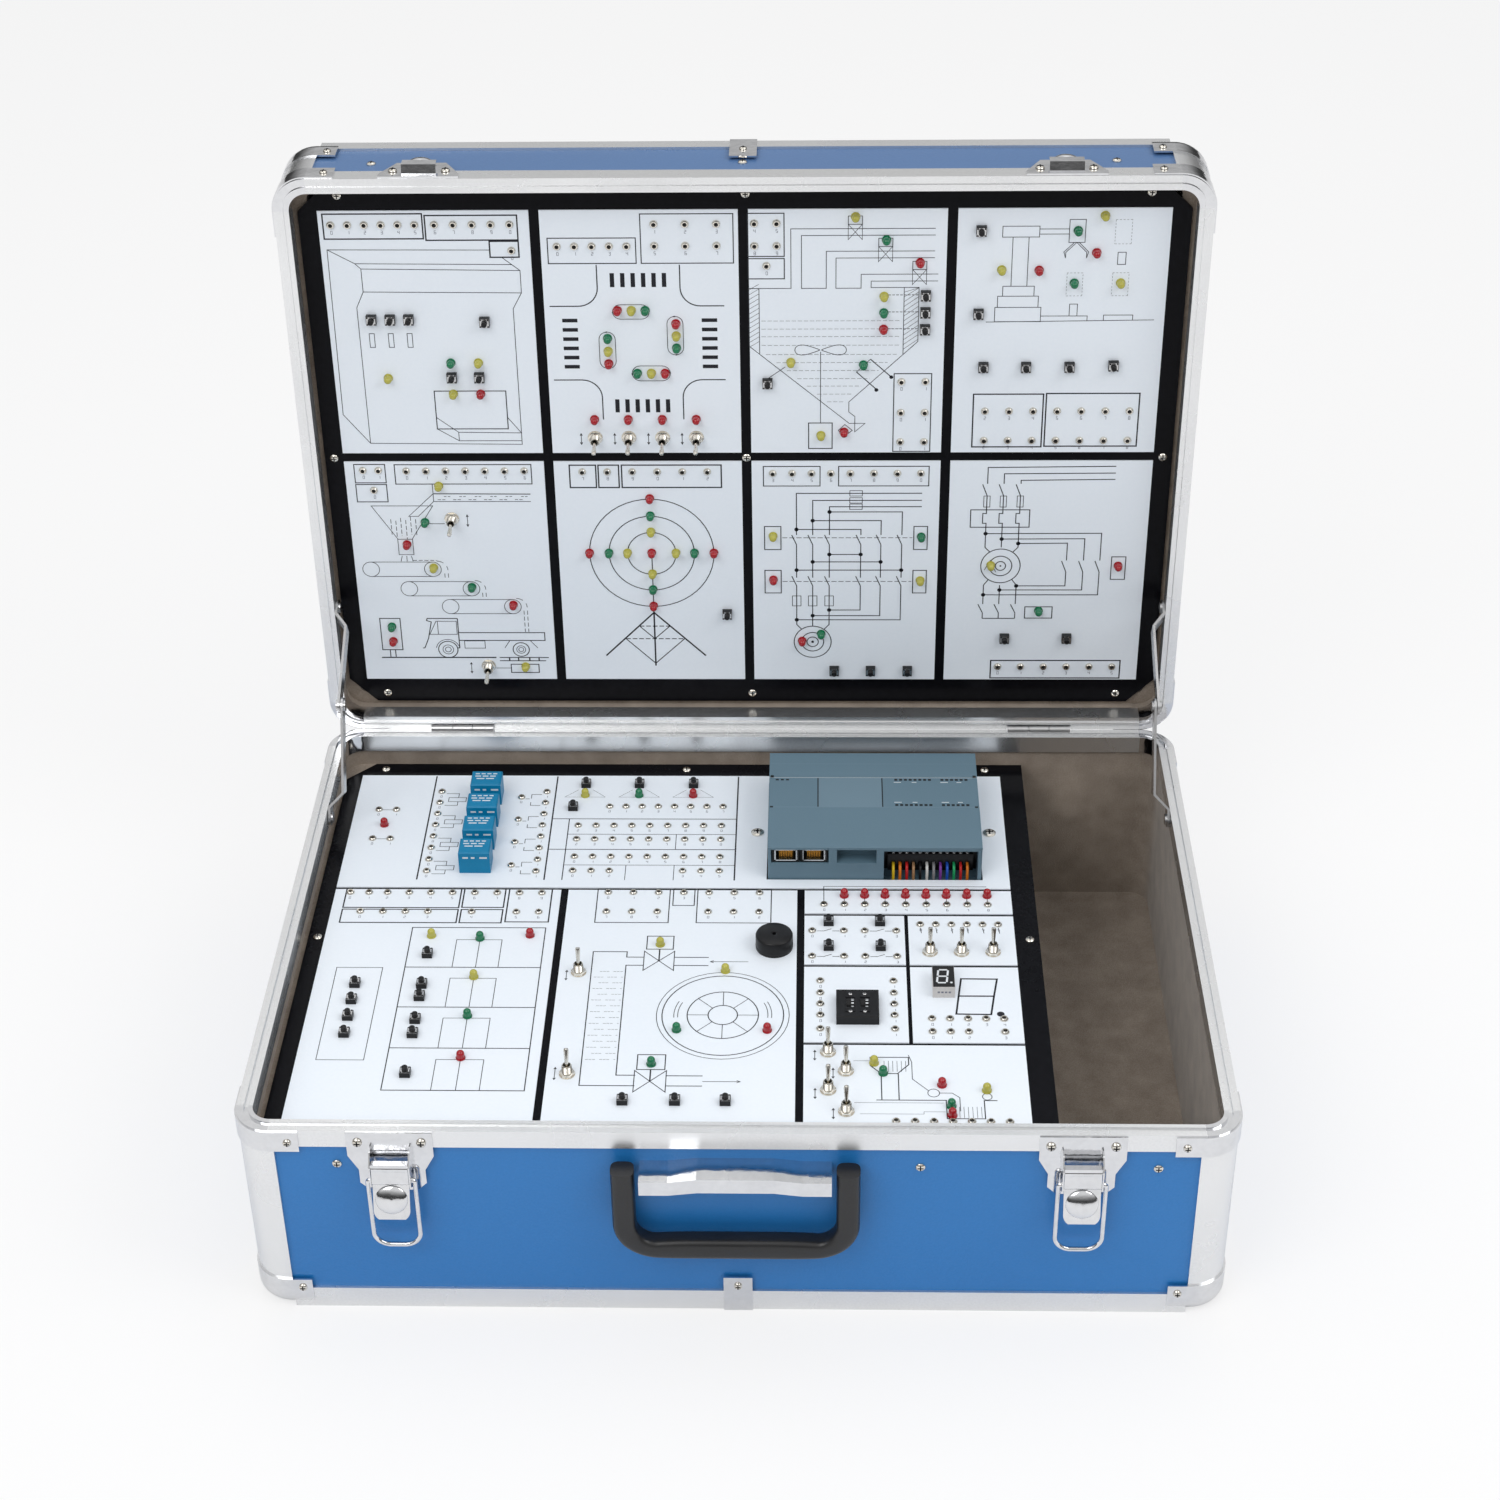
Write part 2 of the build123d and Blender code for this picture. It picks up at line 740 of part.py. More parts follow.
def make_levers(face, places, tilt, name):
    # bats of toggle switches, leaning towards the drawing's top when the tilt is positive
    lean = (0, math.sin(math.radians(tilt)), math.cos(math.radians(tilt)))
    with BuildPart() as levers:
        for x, y in places:
            pivot = Plane(origin=(x, y, lever_pivot_height), x_dir=(1, 0, 0), z_dir=lean)
            stem = Plane(face.location * pivot.location)
            with BuildSketch(stem.offset(-lever_radius)):
                RegularPolygon(lever_radius, 8)
            with BuildSketch(stem.offset(lever_length)):
                RegularPolygon(lever_tip_radius, 8)
            loft()
    save(levers, name)


def make_controller():
    top = base_top + controller_stands_out
    face = Plane((controller_place[0], controller_place[1], top))
    low = -controller_length / 2
    with BuildPart() as body:
        with BuildSketch(face.offset(-cover_thickness)):
            RectangleRounded(controller_width, controller_length, 1.5)
        extrude(amount=-(controller_depth - cover_thickness))
        # raised strip between the two covers
        with BuildSketch(face.offset(-cover_thickness)):
            with Locations((0, cover_strip_place)):
                Rectangle(controller_width, cover_strip)
        extrude(amount=cover_thickness / 2)
        # ports and terminals open towards the front
        side = Plane(
            origin=(controller_place[0], controller_place[1] + low, top),
            x_dir=(1, 0, 0),
            z_dir=(0, -1, 0),
        )
        with BuildSketch(side):
            with Locations((jack_frame_place, -port_drop)):
                Rectangle(jack_frame_width, port_height)
            with Locations((blank_port_place, -port_drop)):
                Rectangle(blank_port_width, port_height)
        extrude(amount=-port_depth, mode=Mode.SUBTRACT)
        with BuildSketch(side):
            with Locations((terminal_place, -pocket_drop)):
                Rectangle(pocket_width, pocket_height)
        extrude(amount=-pocket_depth, mode=Mode.SUBTRACT)
    save(body, "controller_body")
    with BuildPart() as covers:
        with BuildSketch(face.offset(-cover_thickness)):
            with Locations((0, controller_length / 2 - rear_cover / 2)):
                Rectangle(controller_width, rear_cover)
            with Locations((0, front_cover / 2 - controller_length / 2)):
                Rectangle(controller_width, front_cover)
        extrude(amount=cover_thickness)
        fillet(covers.faces().group_by(Axis.Z)[-1].edges().filter_by(Axis.X), 0.8)
    save(covers, "controller_covers")
    with BuildPart() as ports:
        # two network jacks in their frame
        with BuildSketch(side.offset(-port_depth)):
            with Locations((jack_frame_place, -port_drop)):
                with GridLocations(jack_pitch, 0, 2, 1):
                    Rectangle(jack_body_width, port_height - 2 * joint_gap)
        extrude(amount=port_depth - 1)
        with BuildSketch(side.offset(-1)):
            with Locations((jack_frame_place, -port_drop + 0.6)):
                with GridLocations(jack_pitch, 0, 2, 1):
                    Rectangle(jack_width, jack_height)
        extrude(amount=-port_depth + jack_floor, mode=Mode.SUBTRACT)
        # screw terminal block: a stepped body with a row of wire holes
        with BuildSketch(side.offset(-pocket_depth)):
            with Locations((terminal_place, -terminal_block_drop)):
                Rectangle(terminal_width, terminal_block_height)
        extrude(amount=pocket_depth - terminal_step - terminal_set_back)
        with BuildSketch(side.offset(-pocket_depth)):
            with Locations((terminal_place, -terminal_nose_drop)):
                Rectangle(terminal_nose_width, terminal_nose_height)
        extrude(amount=pocket_depth - terminal_step)
        with BuildSketch(side.offset(-terminal_step)):
            with Locations([(wire_x(i), wire_height) for i in range(wire_count)]):
                Rectangle(terminal_hole, terminal_hole)
        extrude(amount=-terminal_hole_depth, mode=Mode.SUBTRACT)
    save(ports, "controller_ports")
    with BuildPart() as wires:
        # leads out of the terminals, bent down behind the board
        starts = [(wire_x(i), wire_height) for i in range(wire_count)]
        with BuildSketch(side.offset(-terminal_step)):
            with Locations(starts):
                RegularPolygon(wire_radius, 6)
        extrude(amount=wire_out)
        turn = Plane((controller_place[0], controller_place[1] + low, top + wire_height))
        with BuildSketch(turn):
            with Locations([(wire_x(i), terminal_step - wire_out) for i in range(wire_count)]):
                RegularPolygon(wire_radius, 6)
        extrude(amount=-wire_drop)
    save(wires, "terminal_wires")


def wire_x(i):
    return terminal_place + (i - (wire_count - 1) / 2) * wire_pitch


def make_rail():
    # hat rail under the board, hung from two pillars
    rail_top = base_top + controller_stands_out - controller_depth
    middle = rail_screws[0][1]
    start = rail_screws[0][0] - rail_end
    stop = rail_screws[1][0] + rail_end
    with BuildPart() as rail:
        with BuildSketch(Plane.YZ.offset(start)):
            with Locations((middle, rail_top - rail_thickness / 2)):
                with GridLocations(rail_width - rail_flange, 0, 2, 1):
                    Rectangle(rail_flange, rail_thickness)
            with Locations((middle, rail_top - rail_height / 2)):
                with GridLocations(rail_web_gap, 0, 2, 1):
                    Rectangle(rail_thickness, rail_height)
            with Locations((middle, rail_top - rail_height + rail_thickness / 2)):
                Rectangle(rail_web_gap, rail_thickness)
        extrude(amount=stop - start)
        with BuildSketch(Plane.XY.offset(rail_top - rail_height)):
            with Locations(rail_screws):
                Circle(standoff_radius)
        extrude(amount=base_top - board_thickness - rail_top + rail_height)
    save(rail, "din_rail")


def make_relays():
    face = base_at(base_recess)
    with BuildPart() as relays:
        with BuildSketch(face):
            with Locations(drawn_base([(relay_x, y) for y in relay_rows])):
                Rectangle(relay_width, relay_depth)
        extrude(amount=relay_height)
        chamfer(relays.faces().group_by(Axis.Z)[-1].edges(), 0.6)
    save(relays, "relays")


def make_buzzer():
    with BuildPart() as buzzer:
        with BuildSketch(base_at(base_recess)):
            with Locations(base_spot(*buzzer_place)):
                Circle(buzzer_radius)
        extrude(amount=buzzer_height)
        chamfer(buzzer.faces().sort_by(Axis.Z)[-1].edges(), 0.8)
        with BuildSketch(base_at(base_recess - buzzer_height)):
            with Locations(base_spot(*buzzer_place)):
                Circle(buzzer_hole)
        extrude(amount=-3, mode=Mode.SUBTRACT)
    save(buzzer, "buzzer")


def make_digit_display():
    with BuildPart() as display:
        with BuildSketch(base_at(base_recess)):
            with Locations(base_spot(*display_place)):
                Rectangle(display_width, display_length)
        extrude(amount=display_height)
        chamfer(display.faces().sort_by(Axis.Z)[-1].edges(), 0.4)
    save(display, "digit_display")


def make_dial_switch():
    # two thumbwheels that turn in one frame
    x, y = base_spot(*dial_place)
    face = Plane((x, y, base_top))
    room = wheel_width + 2 * running_fit
    wheel_height = dial_height - wheel_sink
    with BuildPart() as frame:
        with BuildSketch(face):
            Rectangle(dial_size, dial_size)
        extrude(amount=dial_height)
        chamfer(frame.faces().sort_by(Axis.Z)[-1].edges(), 0.6)
        with BuildSketch(face.offset(dial_height)):
            with GridLocations(wheel_pitch, 0, 2, 1):
                Rectangle(room, 2 * wheel_radius + 2 * swing_gap)
        extrude(amount=-(dial_height - dial_wall), mode=Mode.SUBTRACT)
        with BuildSketch(Plane.YZ.offset(x - dial_size / 2 + dial_wall)):
            with Locations((y, base_top + wheel_height)):
                Circle(wheel_bore)
        extrude(amount=dial_size - 2 * dial_wall)
    save(frame, "thumbwheel_frame")
    for side, name in ((-1, "thumbwheel_left"), (1, "thumbwheel_right")):
        with BuildPart() as wheel:
            with BuildSketch(Plane.YZ.offset(x + side * wheel_pitch / 2 - wheel_width / 2)):
                with Locations((y, base_top + wheel_height)):
                    RegularPolygon(wheel_radius, 20)
                    Circle(wheel_bore + running_fit, mode=Mode.SUBTRACT)
            extrude(amount=wheel_width)
        save(wheel, name)



def make_hinges():
    for half_name, sign in (("hinge_base_leaves", -1), ("hinge_lid_leaves", 1)):
        with BuildPart() as leaves:
            for x in (-hinge_spacing / 2, hinge_spacing / 2):
                hinge_leaf(x, sign)
        save(leaves, half_name)


def hinge_leaf(x, sign):
    # a pressed leaf with its knuckles; the base's has the outer two and the pin
    third = hinge_length / 3
    middle = third - 2 * swing_gap
    spans = ((-middle / 2, middle),) if sign > 0 else ((-1.5 * third, third), (third / 2, third))
    for low, long in spans:
        with BuildSketch(Plane.YZ.offset(x + low)) as knuckle:
            with Locations((back_y, base_height)):
                Circle(knuckle_radius)
            leaf_box(sign, knuckle_radius * 0.3, knuckle_radius + 2, 0)
            if sign > 0:
                with Locations((back_y, base_height)):
                    Circle(pin_radius + running_fit, mode=Mode.SUBTRACT)
        extrude(knuckle.sketch, amount=long)
    if sign < 0:
        with BuildSketch(Plane.YZ.offset(x - third)) as pin:
            with Locations((back_y, base_height)):
                Circle(pin_radius)
        extrude(pin.sketch, amount=2 * third)
    # the leaf steps in from the rim's face to the board below it
    step = rim_height + seam_gap / 2 + joint_gap
    with BuildSketch(Plane.YZ.offset(x - hinge_length / 2)) as plate_section:
        leaf_box(sign, knuckle_radius + swing_gap, step + leaf_thickness, 0)
        leaf_box(sign, step, step + leaf_thickness, -leg / 2)
        leaf_box(sign, step, leaf_length, -leg)
    extrude(plate_section.sketch, amount=hinge_length)


def leaf_box(sign, start, stop, out):
    # strip of leaf in the YZ plane: down the back of the base, or out under the open lid
    if sign < 0:
        with Locations((back_y + out + leaf_thickness / 2, base_height - (start + stop) / 2)):
            Rectangle(leaf_thickness, stop - start)
    else:
        with Locations((back_y + (start + stop) / 2, base_height - out - leaf_thickness / 2)):
            Rectangle(stop - start, leaf_thickness)


def stay_points():
    # pivots on the base and the open lid, and the elbow in front of the line between them
    foot = (back_y - stay_reach, base_height - stay_drop)
    head = (back_y + stay_drop, base_height + stay_reach)
    chord = math.dist(foot, head)
    bow = math.sqrt(stay_arm**2 - (chord / 2) ** 2)
    lean = (foot[0] - head[0] + 0.0, foot[1] - head[1])
    normal = (lean[1] / chord, -lean[0] / chord)
    middle = ((foot[0] + head[0]) / 2, (foot[1] + head[1]) / 2)
    elbow = (middle[0] + normal[0] * bow, middle[1] + normal[1] * bow)
    return foot, head, elbow


def stay_arm_solid(pivot, elbow, stand_off):
    # flat bar, cranked out to the wall at its pivot, on the left of the case
    run_y = (elbow[0] - pivot[0]) / stay_arm
    run_z = (elbow[1] - pivot[1]) / stay_arm
    wall_x = -case_width / 2 + rim_width
    flat = Plane(
        origin=(wall_x, pivot[0], pivot[1]), x_dir=(0, run_y, run_z), z_dir=(0, -run_z, run_y)
    )
    near = -seam_gap
    far = -stand_off
    end = stay_width / 2
    t = stay_thickness
    with BuildSketch(flat.offset(-end)) as shape:
        Polygon(
            (-end, near),
            (end + 2, near),
            (2 * end + 6, far),
            (stay_arm + end, far),
            (stay_arm + end, far - t),
            (2 * end + 5.4, far - t),
            (end + 1.4, near - t),
            (-end, near - t),
            align=None,
        )
    extrude(shape.sketch, amount=stay_width)
    across_plane = Plane.YZ.offset(wall_x)
    with BuildSketch(across_plane) as shape:
        with Locations(((pivot[0] + elbow[0]) / 2, (pivot[1] + elbow[1]) / 2)):
            SlotCenterToCenter(stay_arm, stay_width, rotation=math.degrees(math.atan2(run_z, run_y)))
    extrude(shape.sketch, amount=2 * stand_off, both=True, mode=Mode.INTERSECT)
    with BuildSketch(across_plane.offset(-near + t)) as shape:
        with Locations(pivot):
            Circle(rivet_radius)
    extrude(shape.sketch, amount=rivet_height)
    return across_plane


def make_stays():
    foot, head, elbow = stay_points()
    inner_off = stay_stand_off + stay_thickness + stay_gap
    arms = (
        ("stay_lower_links", foot, inner_off, inner_off + stay_thickness),
        ("stay_upper_links", head, stay_stand_off, stay_stand_off - rivet_height),
    )
    for name, pivot, stand_off, rivet_at in arms:
        with BuildPart() as links:
            across_plane = stay_arm_solid(pivot, elbow, stand_off)
            with BuildSketch(across_plane.offset(rivet_at)):
                with Locations(elbow):
                    Circle(rivet_radius)
            extrude(amount=rivet_height)
            mirror(about=Plane.YZ)
        save(links, name)


def make_latch_plates():
    # pressed plate with two cheeks that carry the lever and the bail
    half = latch_width / 2
    neck = latch_neck / 2
    inner = lever_half_width + cheek_gap
    with BuildPart() as plates:
        for side in (-1, 1):
            with BuildSketch(front_face):
                with Locations((side * latch_spacing / 2, 0)):
                    Polygon(
                        (-half, -latch_top_drop),
                        (half, -latch_top_drop),
                        (half, -17),
                        (neck, -27),
                        (neck, -latch_height + 5),
                        (neck - 5, -latch_height),
                        (5 - neck, -latch_height),
                        (-neck, -latch_height + 5),
                        (-neck, -27),
                        (-half, -17),
                        align=None,
                    )
            extrude(amount=latch_thickness)
            cheeks(side * latch_spacing / 2, inner)
    save(plates, "latch_plates")


def cheeks(x, inner):
    # sectioned upright through Y and Z, either side of the lever
    root = front_y - latch_thickness
    lever_y = front_y - latch_pivot_out
    lever_z = base_height - latch_pivot_drop
    bail_y = front_y - bail_pivot_out
    bail_z = base_height - bail_pivot_drop
    for place in (x - inner - cheek_thickness, x + inner):
        with BuildSketch(Plane.YZ.offset(place)) as shape:
            Polygon(
                (root, lever_z + 10),
                (root - 4, lever_z + 9),
                (front_y - cheek_depth, lever_z + 2),
                (front_y - cheek_depth, bail_z - 2),
                (root - 4, bail_z - 6),
                (root, bail_z - 7),
                align=None,
            )
            with Locations((lever_y, lever_z)):
                Circle(pin_radius + running_fit, mode=Mode.SUBTRACT)
            with Locations((bail_y, bail_z)):
                Circle(bail_radius + running_fit, mode=Mode.SUBTRACT)
        extrude(shape.sketch, amount=cheek_thickness)


def make_latch_lever(side, name):
    x = side * latch_spacing / 2
    y = front_y - latch_pivot_out
    z = base_height - latch_pivot_drop
    long = latch_lever_length
    with BuildPart() as lever:
        with BuildSketch(Plane.YZ.offset(x - lever_half_width)):
            Polygon(
                (y + 1.6, z + 3.4),
                (y - 2, z + 3.4),
                (y - 3.2, z - long * 0.3),
                (y - 2, z - long * 0.36),
                (y - 5.4, z - long * 0.7),
                (y - 8.4, z - long),
                (y - 7, z - long - 0.6),
                (y - 3.8, z - long * 0.72),
                (y - 0.6, z - long * 0.36),
                (y - 1.4, z - long * 0.28),
                align=None,
            )
            with Locations((y, z)):
                Circle(pin_radius + leaf_thickness)
        extrude(amount=2 * lever_half_width)
        # round the free end
        with BuildSketch(front_face):
            with Locations((x, -latch_pivot_drop - long / 2 + 2.2)):
                RectangleRounded(2 * lever_half_width, long + 6.4, 6)
            with Locations((x, -latch_pivot_drop)):
                Rectangle(2 * lever_half_width, 9)
        extrude(amount=4 * latch_pivot_out, mode=Mode.INTERSECT)
        pin_end = lever_half_width + cheek_gap + cheek_thickness
        with BuildSketch(Plane.YZ.offset(x - pin_end)):
            with Locations((y, z)):
                Circle(pin_radius)
        extrude(amount=2 * pin_end)
    save(lever, name)


def make_bail(side, name):
    # wire loop, its two ends turned in through the cheeks
    inner = lever_half_width + cheek_gap
    half = inner + cheek_thickness + cheek_gap + bail_radius
    low = bail_radius - bail_length
    pivot = Plane(
        origin=(side * latch_spacing / 2, front_y - bail_pivot_out, base_height - bail_pivot_drop),
        x_dir=(1, 0, 0),
        z_dir=(0, -1, 0),
    )
    with BuildPart() as bail:
        with BuildLine(pivot) as path:
            FilletPolyline((-inner, 0), (-half, 0), (-half, low / 2), radius=bail_turn)
            FilletPolyline(
                (-half, low / 2), (-half, low), (half, low), (half, low / 2), radius=bail_bend
            )
            FilletPolyline((half, low / 2), (half, 0), (inner, 0), radius=bail_turn)
        with BuildSketch(Plane(path.line @ 0, z_dir=path.line % 0)):
            Circle(bail_radius)
        sweep()
    save(bail, name)


def make_catches():
    # plates on the lid's front wall, each with a hook that the bail pulls on
    half = latch_width / 2
    with BuildPart() as catches:
        for side in (-1, 1):
            x = side * latch_spacing / 2
            with BuildSketch(lid_front_face):
                with Locations((x, latch_top_drop)):
                    Polygon(
                        (-half, 0), (half, 0), (half, 4), (half - 9, catch_length),
                        (9 - half, catch_length), (-half, 4),
                        align=None,
                    )
            extrude(amount=latch_thickness)
            # the hook opens away from the seam
            top = base_height + case_depth + latch_thickness
            with BuildSketch(Plane.YZ.offset(x - lever_half_width)):
                Polygon(
                    (back_y + 5, top), (back_y + 6.4, top + hook_height),
                    (back_y + 13, top + hook_height), (back_y + 13, top + hook_height - 1.3),
                    (back_y + 8, top + hook_height - 1.5), (back_y + 7.6, top),
                    align=None,
                )
            extrude(amount=2 * lever_half_width)
    save(catches, "lid_catches")


def make_handle():
    y = front_y - handle_pivot_out
    pivot = base_height - handle_pivot_drop
    half = handle_width / 2
    top = pivot + handle_section_width / 2
    low = pivot - handle_drop + handle_section_width / 2
    with BuildPart() as grip:
        with BuildLine():
            FilletPolyline(
                (-half, y, top), (-half + 4, y, low), (half - 4, y, low), (half, y, top),
                radius=handle_bend,
            )
        with BuildSketch(Plane((-half, y, top), x_dir=(1, 0, 0), z_dir=(4, 0, low - top))):
            RectangleRounded(handle_section_width, handle_section_depth, 4)
        sweep()
        for start in (bracket_pin_start, -bracket_pin_start - bracket_pin):
            with BuildSketch(Plane.YZ.offset(start)):
                with Locations((y, pivot)):
                    Circle(handle_pivot_radius)
            extrude(amount=bracket_pin)
    save(grip, "handle_grip")
    with BuildPart() as bracket:
        arm = bracket_width / 2
        high = -bracket_drop
        panel_face = front_face.offset(-leg)
        with BuildSketch(panel_face):
            Polygon(
                (-arm, high), (-0.7 * arm, high), (-0.4 * arm, high + bracket_crank),
                (0.4 * arm, high + bracket_crank), (0.7 * arm, high), (arm, high),
                (arm, high - bracket_height), (0.7 * arm, high - bracket_height),
                (0.4 * arm, high - bracket_height + bracket_crank),
                (-0.4 * arm, high - bracket_height + bracket_crank),
                (-0.7 * arm, high - bracket_height), (-arm, high - bracket_height),
                align=None,
            )
        extrude(amount=bracket_depth + leg)
        with BuildSketch(panel_face):
            with Locations((0, high - bracket_height / 2 + bracket_crank / 2)):
                Rectangle(bracket_width - 4 * bracket_wall, bracket_height - bracket_crank - bracket_wall)
        extrude(amount=bracket_depth + leg - bracket_wall, mode=Mode.SUBTRACT)
        with BuildSketch(Plane.YZ.offset(-arm)):
            with Locations((y, pivot)):
                Circle(handle_pivot_radius + running_fit)
        extrude(amount=bracket_width, mode=Mode.SUBTRACT)
    save(bracket, "handle_bracket")


bracket_pin_start = bracket_width / 2 - 3 * bracket_wall
bracket_pin = handle_width / 2 - bracket_pin_start - 3


def build():
    os.makedirs("parts", exist_ok=True)
    base_face = base_at(base_recess)
    lid_face = lid_at(lid_recess)
    make_panels(base_half, "base_panels")
    make_panels(lid_half, "lid_panels")
    make_rim_frame(base_half, "base_rim_frame")
    make_rim_frame(lid_half, "lid_rim_frame")
    make_edge_frame(base_half, "base_foot_frame")
    make_edge_frame(lid_half, "lid_edge_frame")
    make_corner_posts(base_half, "base_corner_posts")
    make_corner_posts(lid_half, "lid_corner_posts")
    make_corner_fittings(base_half, "base_corner_fittings")
    make_corner_fittings(lid_half, "lid_corner_fittings")
    make_lining(base_half, "base_lining", base_recess)
    make_lining(lid_half, "lid_lining", lid_recess)
    make_base_board()
    make_lid_board()
    make_base_plates()
    make_lid_plates()
    make_base_screws()
    make_lid_screws()
    make_sockets(base_face, drawn_base(base_sockets), "base_sockets")
    make_sockets(lid_face, drawn_lid(lid_sockets), "lid_sockets")
    make_leds(base_face, drawn_base(base_leds), "base_leds")
    make_leds(lid_face, drawn_lid(lid_leds), "lid_leds")
    with BuildPart() as bodies:
        toggles = input_toggles + wash_toggles + tower_toggles
        switch_bodies(base_face, drawn_base(base_buttons), drawn_base(toggles))
    save(bodies, "base_switch_bodies")
    with BuildPart() as bodies:
        toggles = crossing_toggles + feed_toggles
        switch_bodies(lid_face, drawn_lid(lid_buttons), drawn_lid(toggles))
    save(bodies, "lid_switch_bodies")
    make_button_caps(base_face, drawn_base(base_buttons), "base_button_caps")
    make_button_caps(lid_face, drawn_lid(lid_buttons), "lid_button_caps")
    make_levers(base_face, drawn_base(input_toggles), lever_tilt, "input_toggle_levers")
    for i, place in enumerate(drawn_base(wash_toggles)):
        make_levers(base_face, [place], lever_tilt, f"wash_toggle_lever_{i + 1}")
    for i, place in enumerate(drawn_base(tower_toggles)):
        make_levers(base_face, [place], lever_tilt, f"tower_toggle_lever_{i + 1}")
    make_levers(lid_face, drawn_lid(crossing_toggles), -lever_tilt, "crossing_toggle_levers")
    for i, place in enumerate(drawn_lid(feed_toggles)):
        make_levers(lid_face, [place], -lever_tilt, f"feed_toggle_lever_{i + 1}")
    make_controller()
    make_rail()
    make_relays()
    make_buzzer()
    make_digit_display()
    make_dial_switch()
    make_hinges()
    make_stays()
    make_latch_plates()
    make_catches()
    for side, word in ((-1, "left"), (1, "right")):
        make_latch_lever(side, f"latch_lever_{word}")
        make_bail(side, f"latch_bail_{word}")
    make_handle()


build()
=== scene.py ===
import math
import bpy
import numpy as np
from mathutils import Matrix, Vector


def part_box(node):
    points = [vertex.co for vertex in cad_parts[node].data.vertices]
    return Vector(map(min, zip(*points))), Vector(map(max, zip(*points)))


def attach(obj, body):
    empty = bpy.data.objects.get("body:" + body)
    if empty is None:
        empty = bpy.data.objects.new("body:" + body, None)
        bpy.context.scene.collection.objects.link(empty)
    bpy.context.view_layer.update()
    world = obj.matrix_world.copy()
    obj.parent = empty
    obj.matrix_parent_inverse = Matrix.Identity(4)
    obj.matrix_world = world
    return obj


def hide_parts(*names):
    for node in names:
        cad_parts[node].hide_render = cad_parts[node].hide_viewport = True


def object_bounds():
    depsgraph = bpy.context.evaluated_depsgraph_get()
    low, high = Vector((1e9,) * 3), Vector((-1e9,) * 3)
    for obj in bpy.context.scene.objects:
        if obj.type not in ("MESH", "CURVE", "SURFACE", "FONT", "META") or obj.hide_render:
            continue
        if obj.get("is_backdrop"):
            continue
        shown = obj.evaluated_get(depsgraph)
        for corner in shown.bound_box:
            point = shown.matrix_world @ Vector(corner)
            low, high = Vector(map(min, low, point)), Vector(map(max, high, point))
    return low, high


# the plc training box; numbers are mm unless a comment says otherwise
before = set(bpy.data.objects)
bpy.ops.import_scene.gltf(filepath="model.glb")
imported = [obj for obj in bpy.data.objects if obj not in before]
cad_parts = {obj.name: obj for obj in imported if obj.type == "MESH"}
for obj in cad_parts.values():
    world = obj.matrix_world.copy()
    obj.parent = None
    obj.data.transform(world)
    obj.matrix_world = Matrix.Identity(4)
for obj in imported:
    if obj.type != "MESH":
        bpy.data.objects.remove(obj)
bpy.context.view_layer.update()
mm = 0.001


# places on the two boards

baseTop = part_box("base_plates")[1].z / mm     # white face of the base's board
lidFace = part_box("lid_plates")[0].y / mm      # white face of the lid's board
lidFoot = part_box("lid_rim_frame")[0].z / mm   # lower edge of the open lid


def onBase(p):
    # x to the right, y away, height off the white face
    p = np.asarray(p, float)
    return np.stack([p[..., 0], p[..., 1], baseTop + p[..., 2]], -1)


def onLid(p):
    # x to the right, up from the lid's lower edge, height off the white face
    p = np.asarray(p, float)
    return np.stack([p[..., 0], lidFace - p[..., 2], lidFoot + p[..., 1]], -1)


def asIs(p):
    return np.asarray(p, float)


def nodeBox(node):
    # lowest and highest corner of a CAD node
    low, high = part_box(node)
    return low / mm, high / mm


# meshes

def gridFaces(rows, cols, wrapRows=False, wrapCols=False):
    # each cell of a grid of points becomes a quad; wrapping joins the last line to the first
    i = np.arange(rows if wrapRows else rows - 1)[:, None]
    j = np.arange(cols if wrapCols else cols - 1)[None, :]
    a = i * cols + j
    b = i * cols + (j + 1) % cols
    c = ((i + 1) % rows) * cols + (j + 1) % cols
    d = ((i + 1) % rows) * cols + j
    return np.stack([a + 0 * b, b + 0 * a, c, d], -1).reshape(-1, 4)


def joined(parts):
    # several (points, faces) pairs as one pair
    points, faces, start = [], [], 0
    for p, f in parts:
        p = np.asarray(p, float).reshape(-1, 3)
        points.append(p)
        faces.extend((np.asarray(g) + start).tolist() for g in f)
        start += len(p)
    return np.concatenate(points), faces


def inScene(name, data):
    # a new object round a mesh, lamp or camera
    obj = bpy.data.objects.new(name, data)
    bpy.context.scene.collection.objects.link(obj)
    return obj


def piece(name, parts, material, body, nodes=(), smooth=True, place=asIs, sharp=35):
    # one visual piece on a body, in place of CAD nodes where it replaces any
    points, faces = joined(parts)
    mesh = bpy.data.meshes.new(name)
    mesh.from_pydata((place(points) * mm).tolist(), [], faces)
    mesh.materials.append(look[material])
    mesh.polygons.foreach_set("use_smooth", np.full(len(mesh.polygons), smooth))
    if smooth:
        mesh.set_sharp_from_angle(angle=math.radians(sharp))
    mesh.update()
    obj = inScene(name, mesh)
    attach(obj, body)
    if nodes:
        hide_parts(*nodes)


def shut(rows, sides):
    # faces of a tube of rings with a flat end on each side
    last = (rows - 1) * sides
    faces = gridFaces(rows, sides, wrapCols=True).tolist()
    return faces + [list(range(sides))[::-1], [last + k for k in range(sides)]]


def repeated(faces, n, copies):
    # the faces of a shape of n points, once for each copy of its points
    faces = np.asarray(faces)
    return (faces[None] + (np.arange(copies) * n)[:, None, None]).reshape(-1, faces.shape[1])


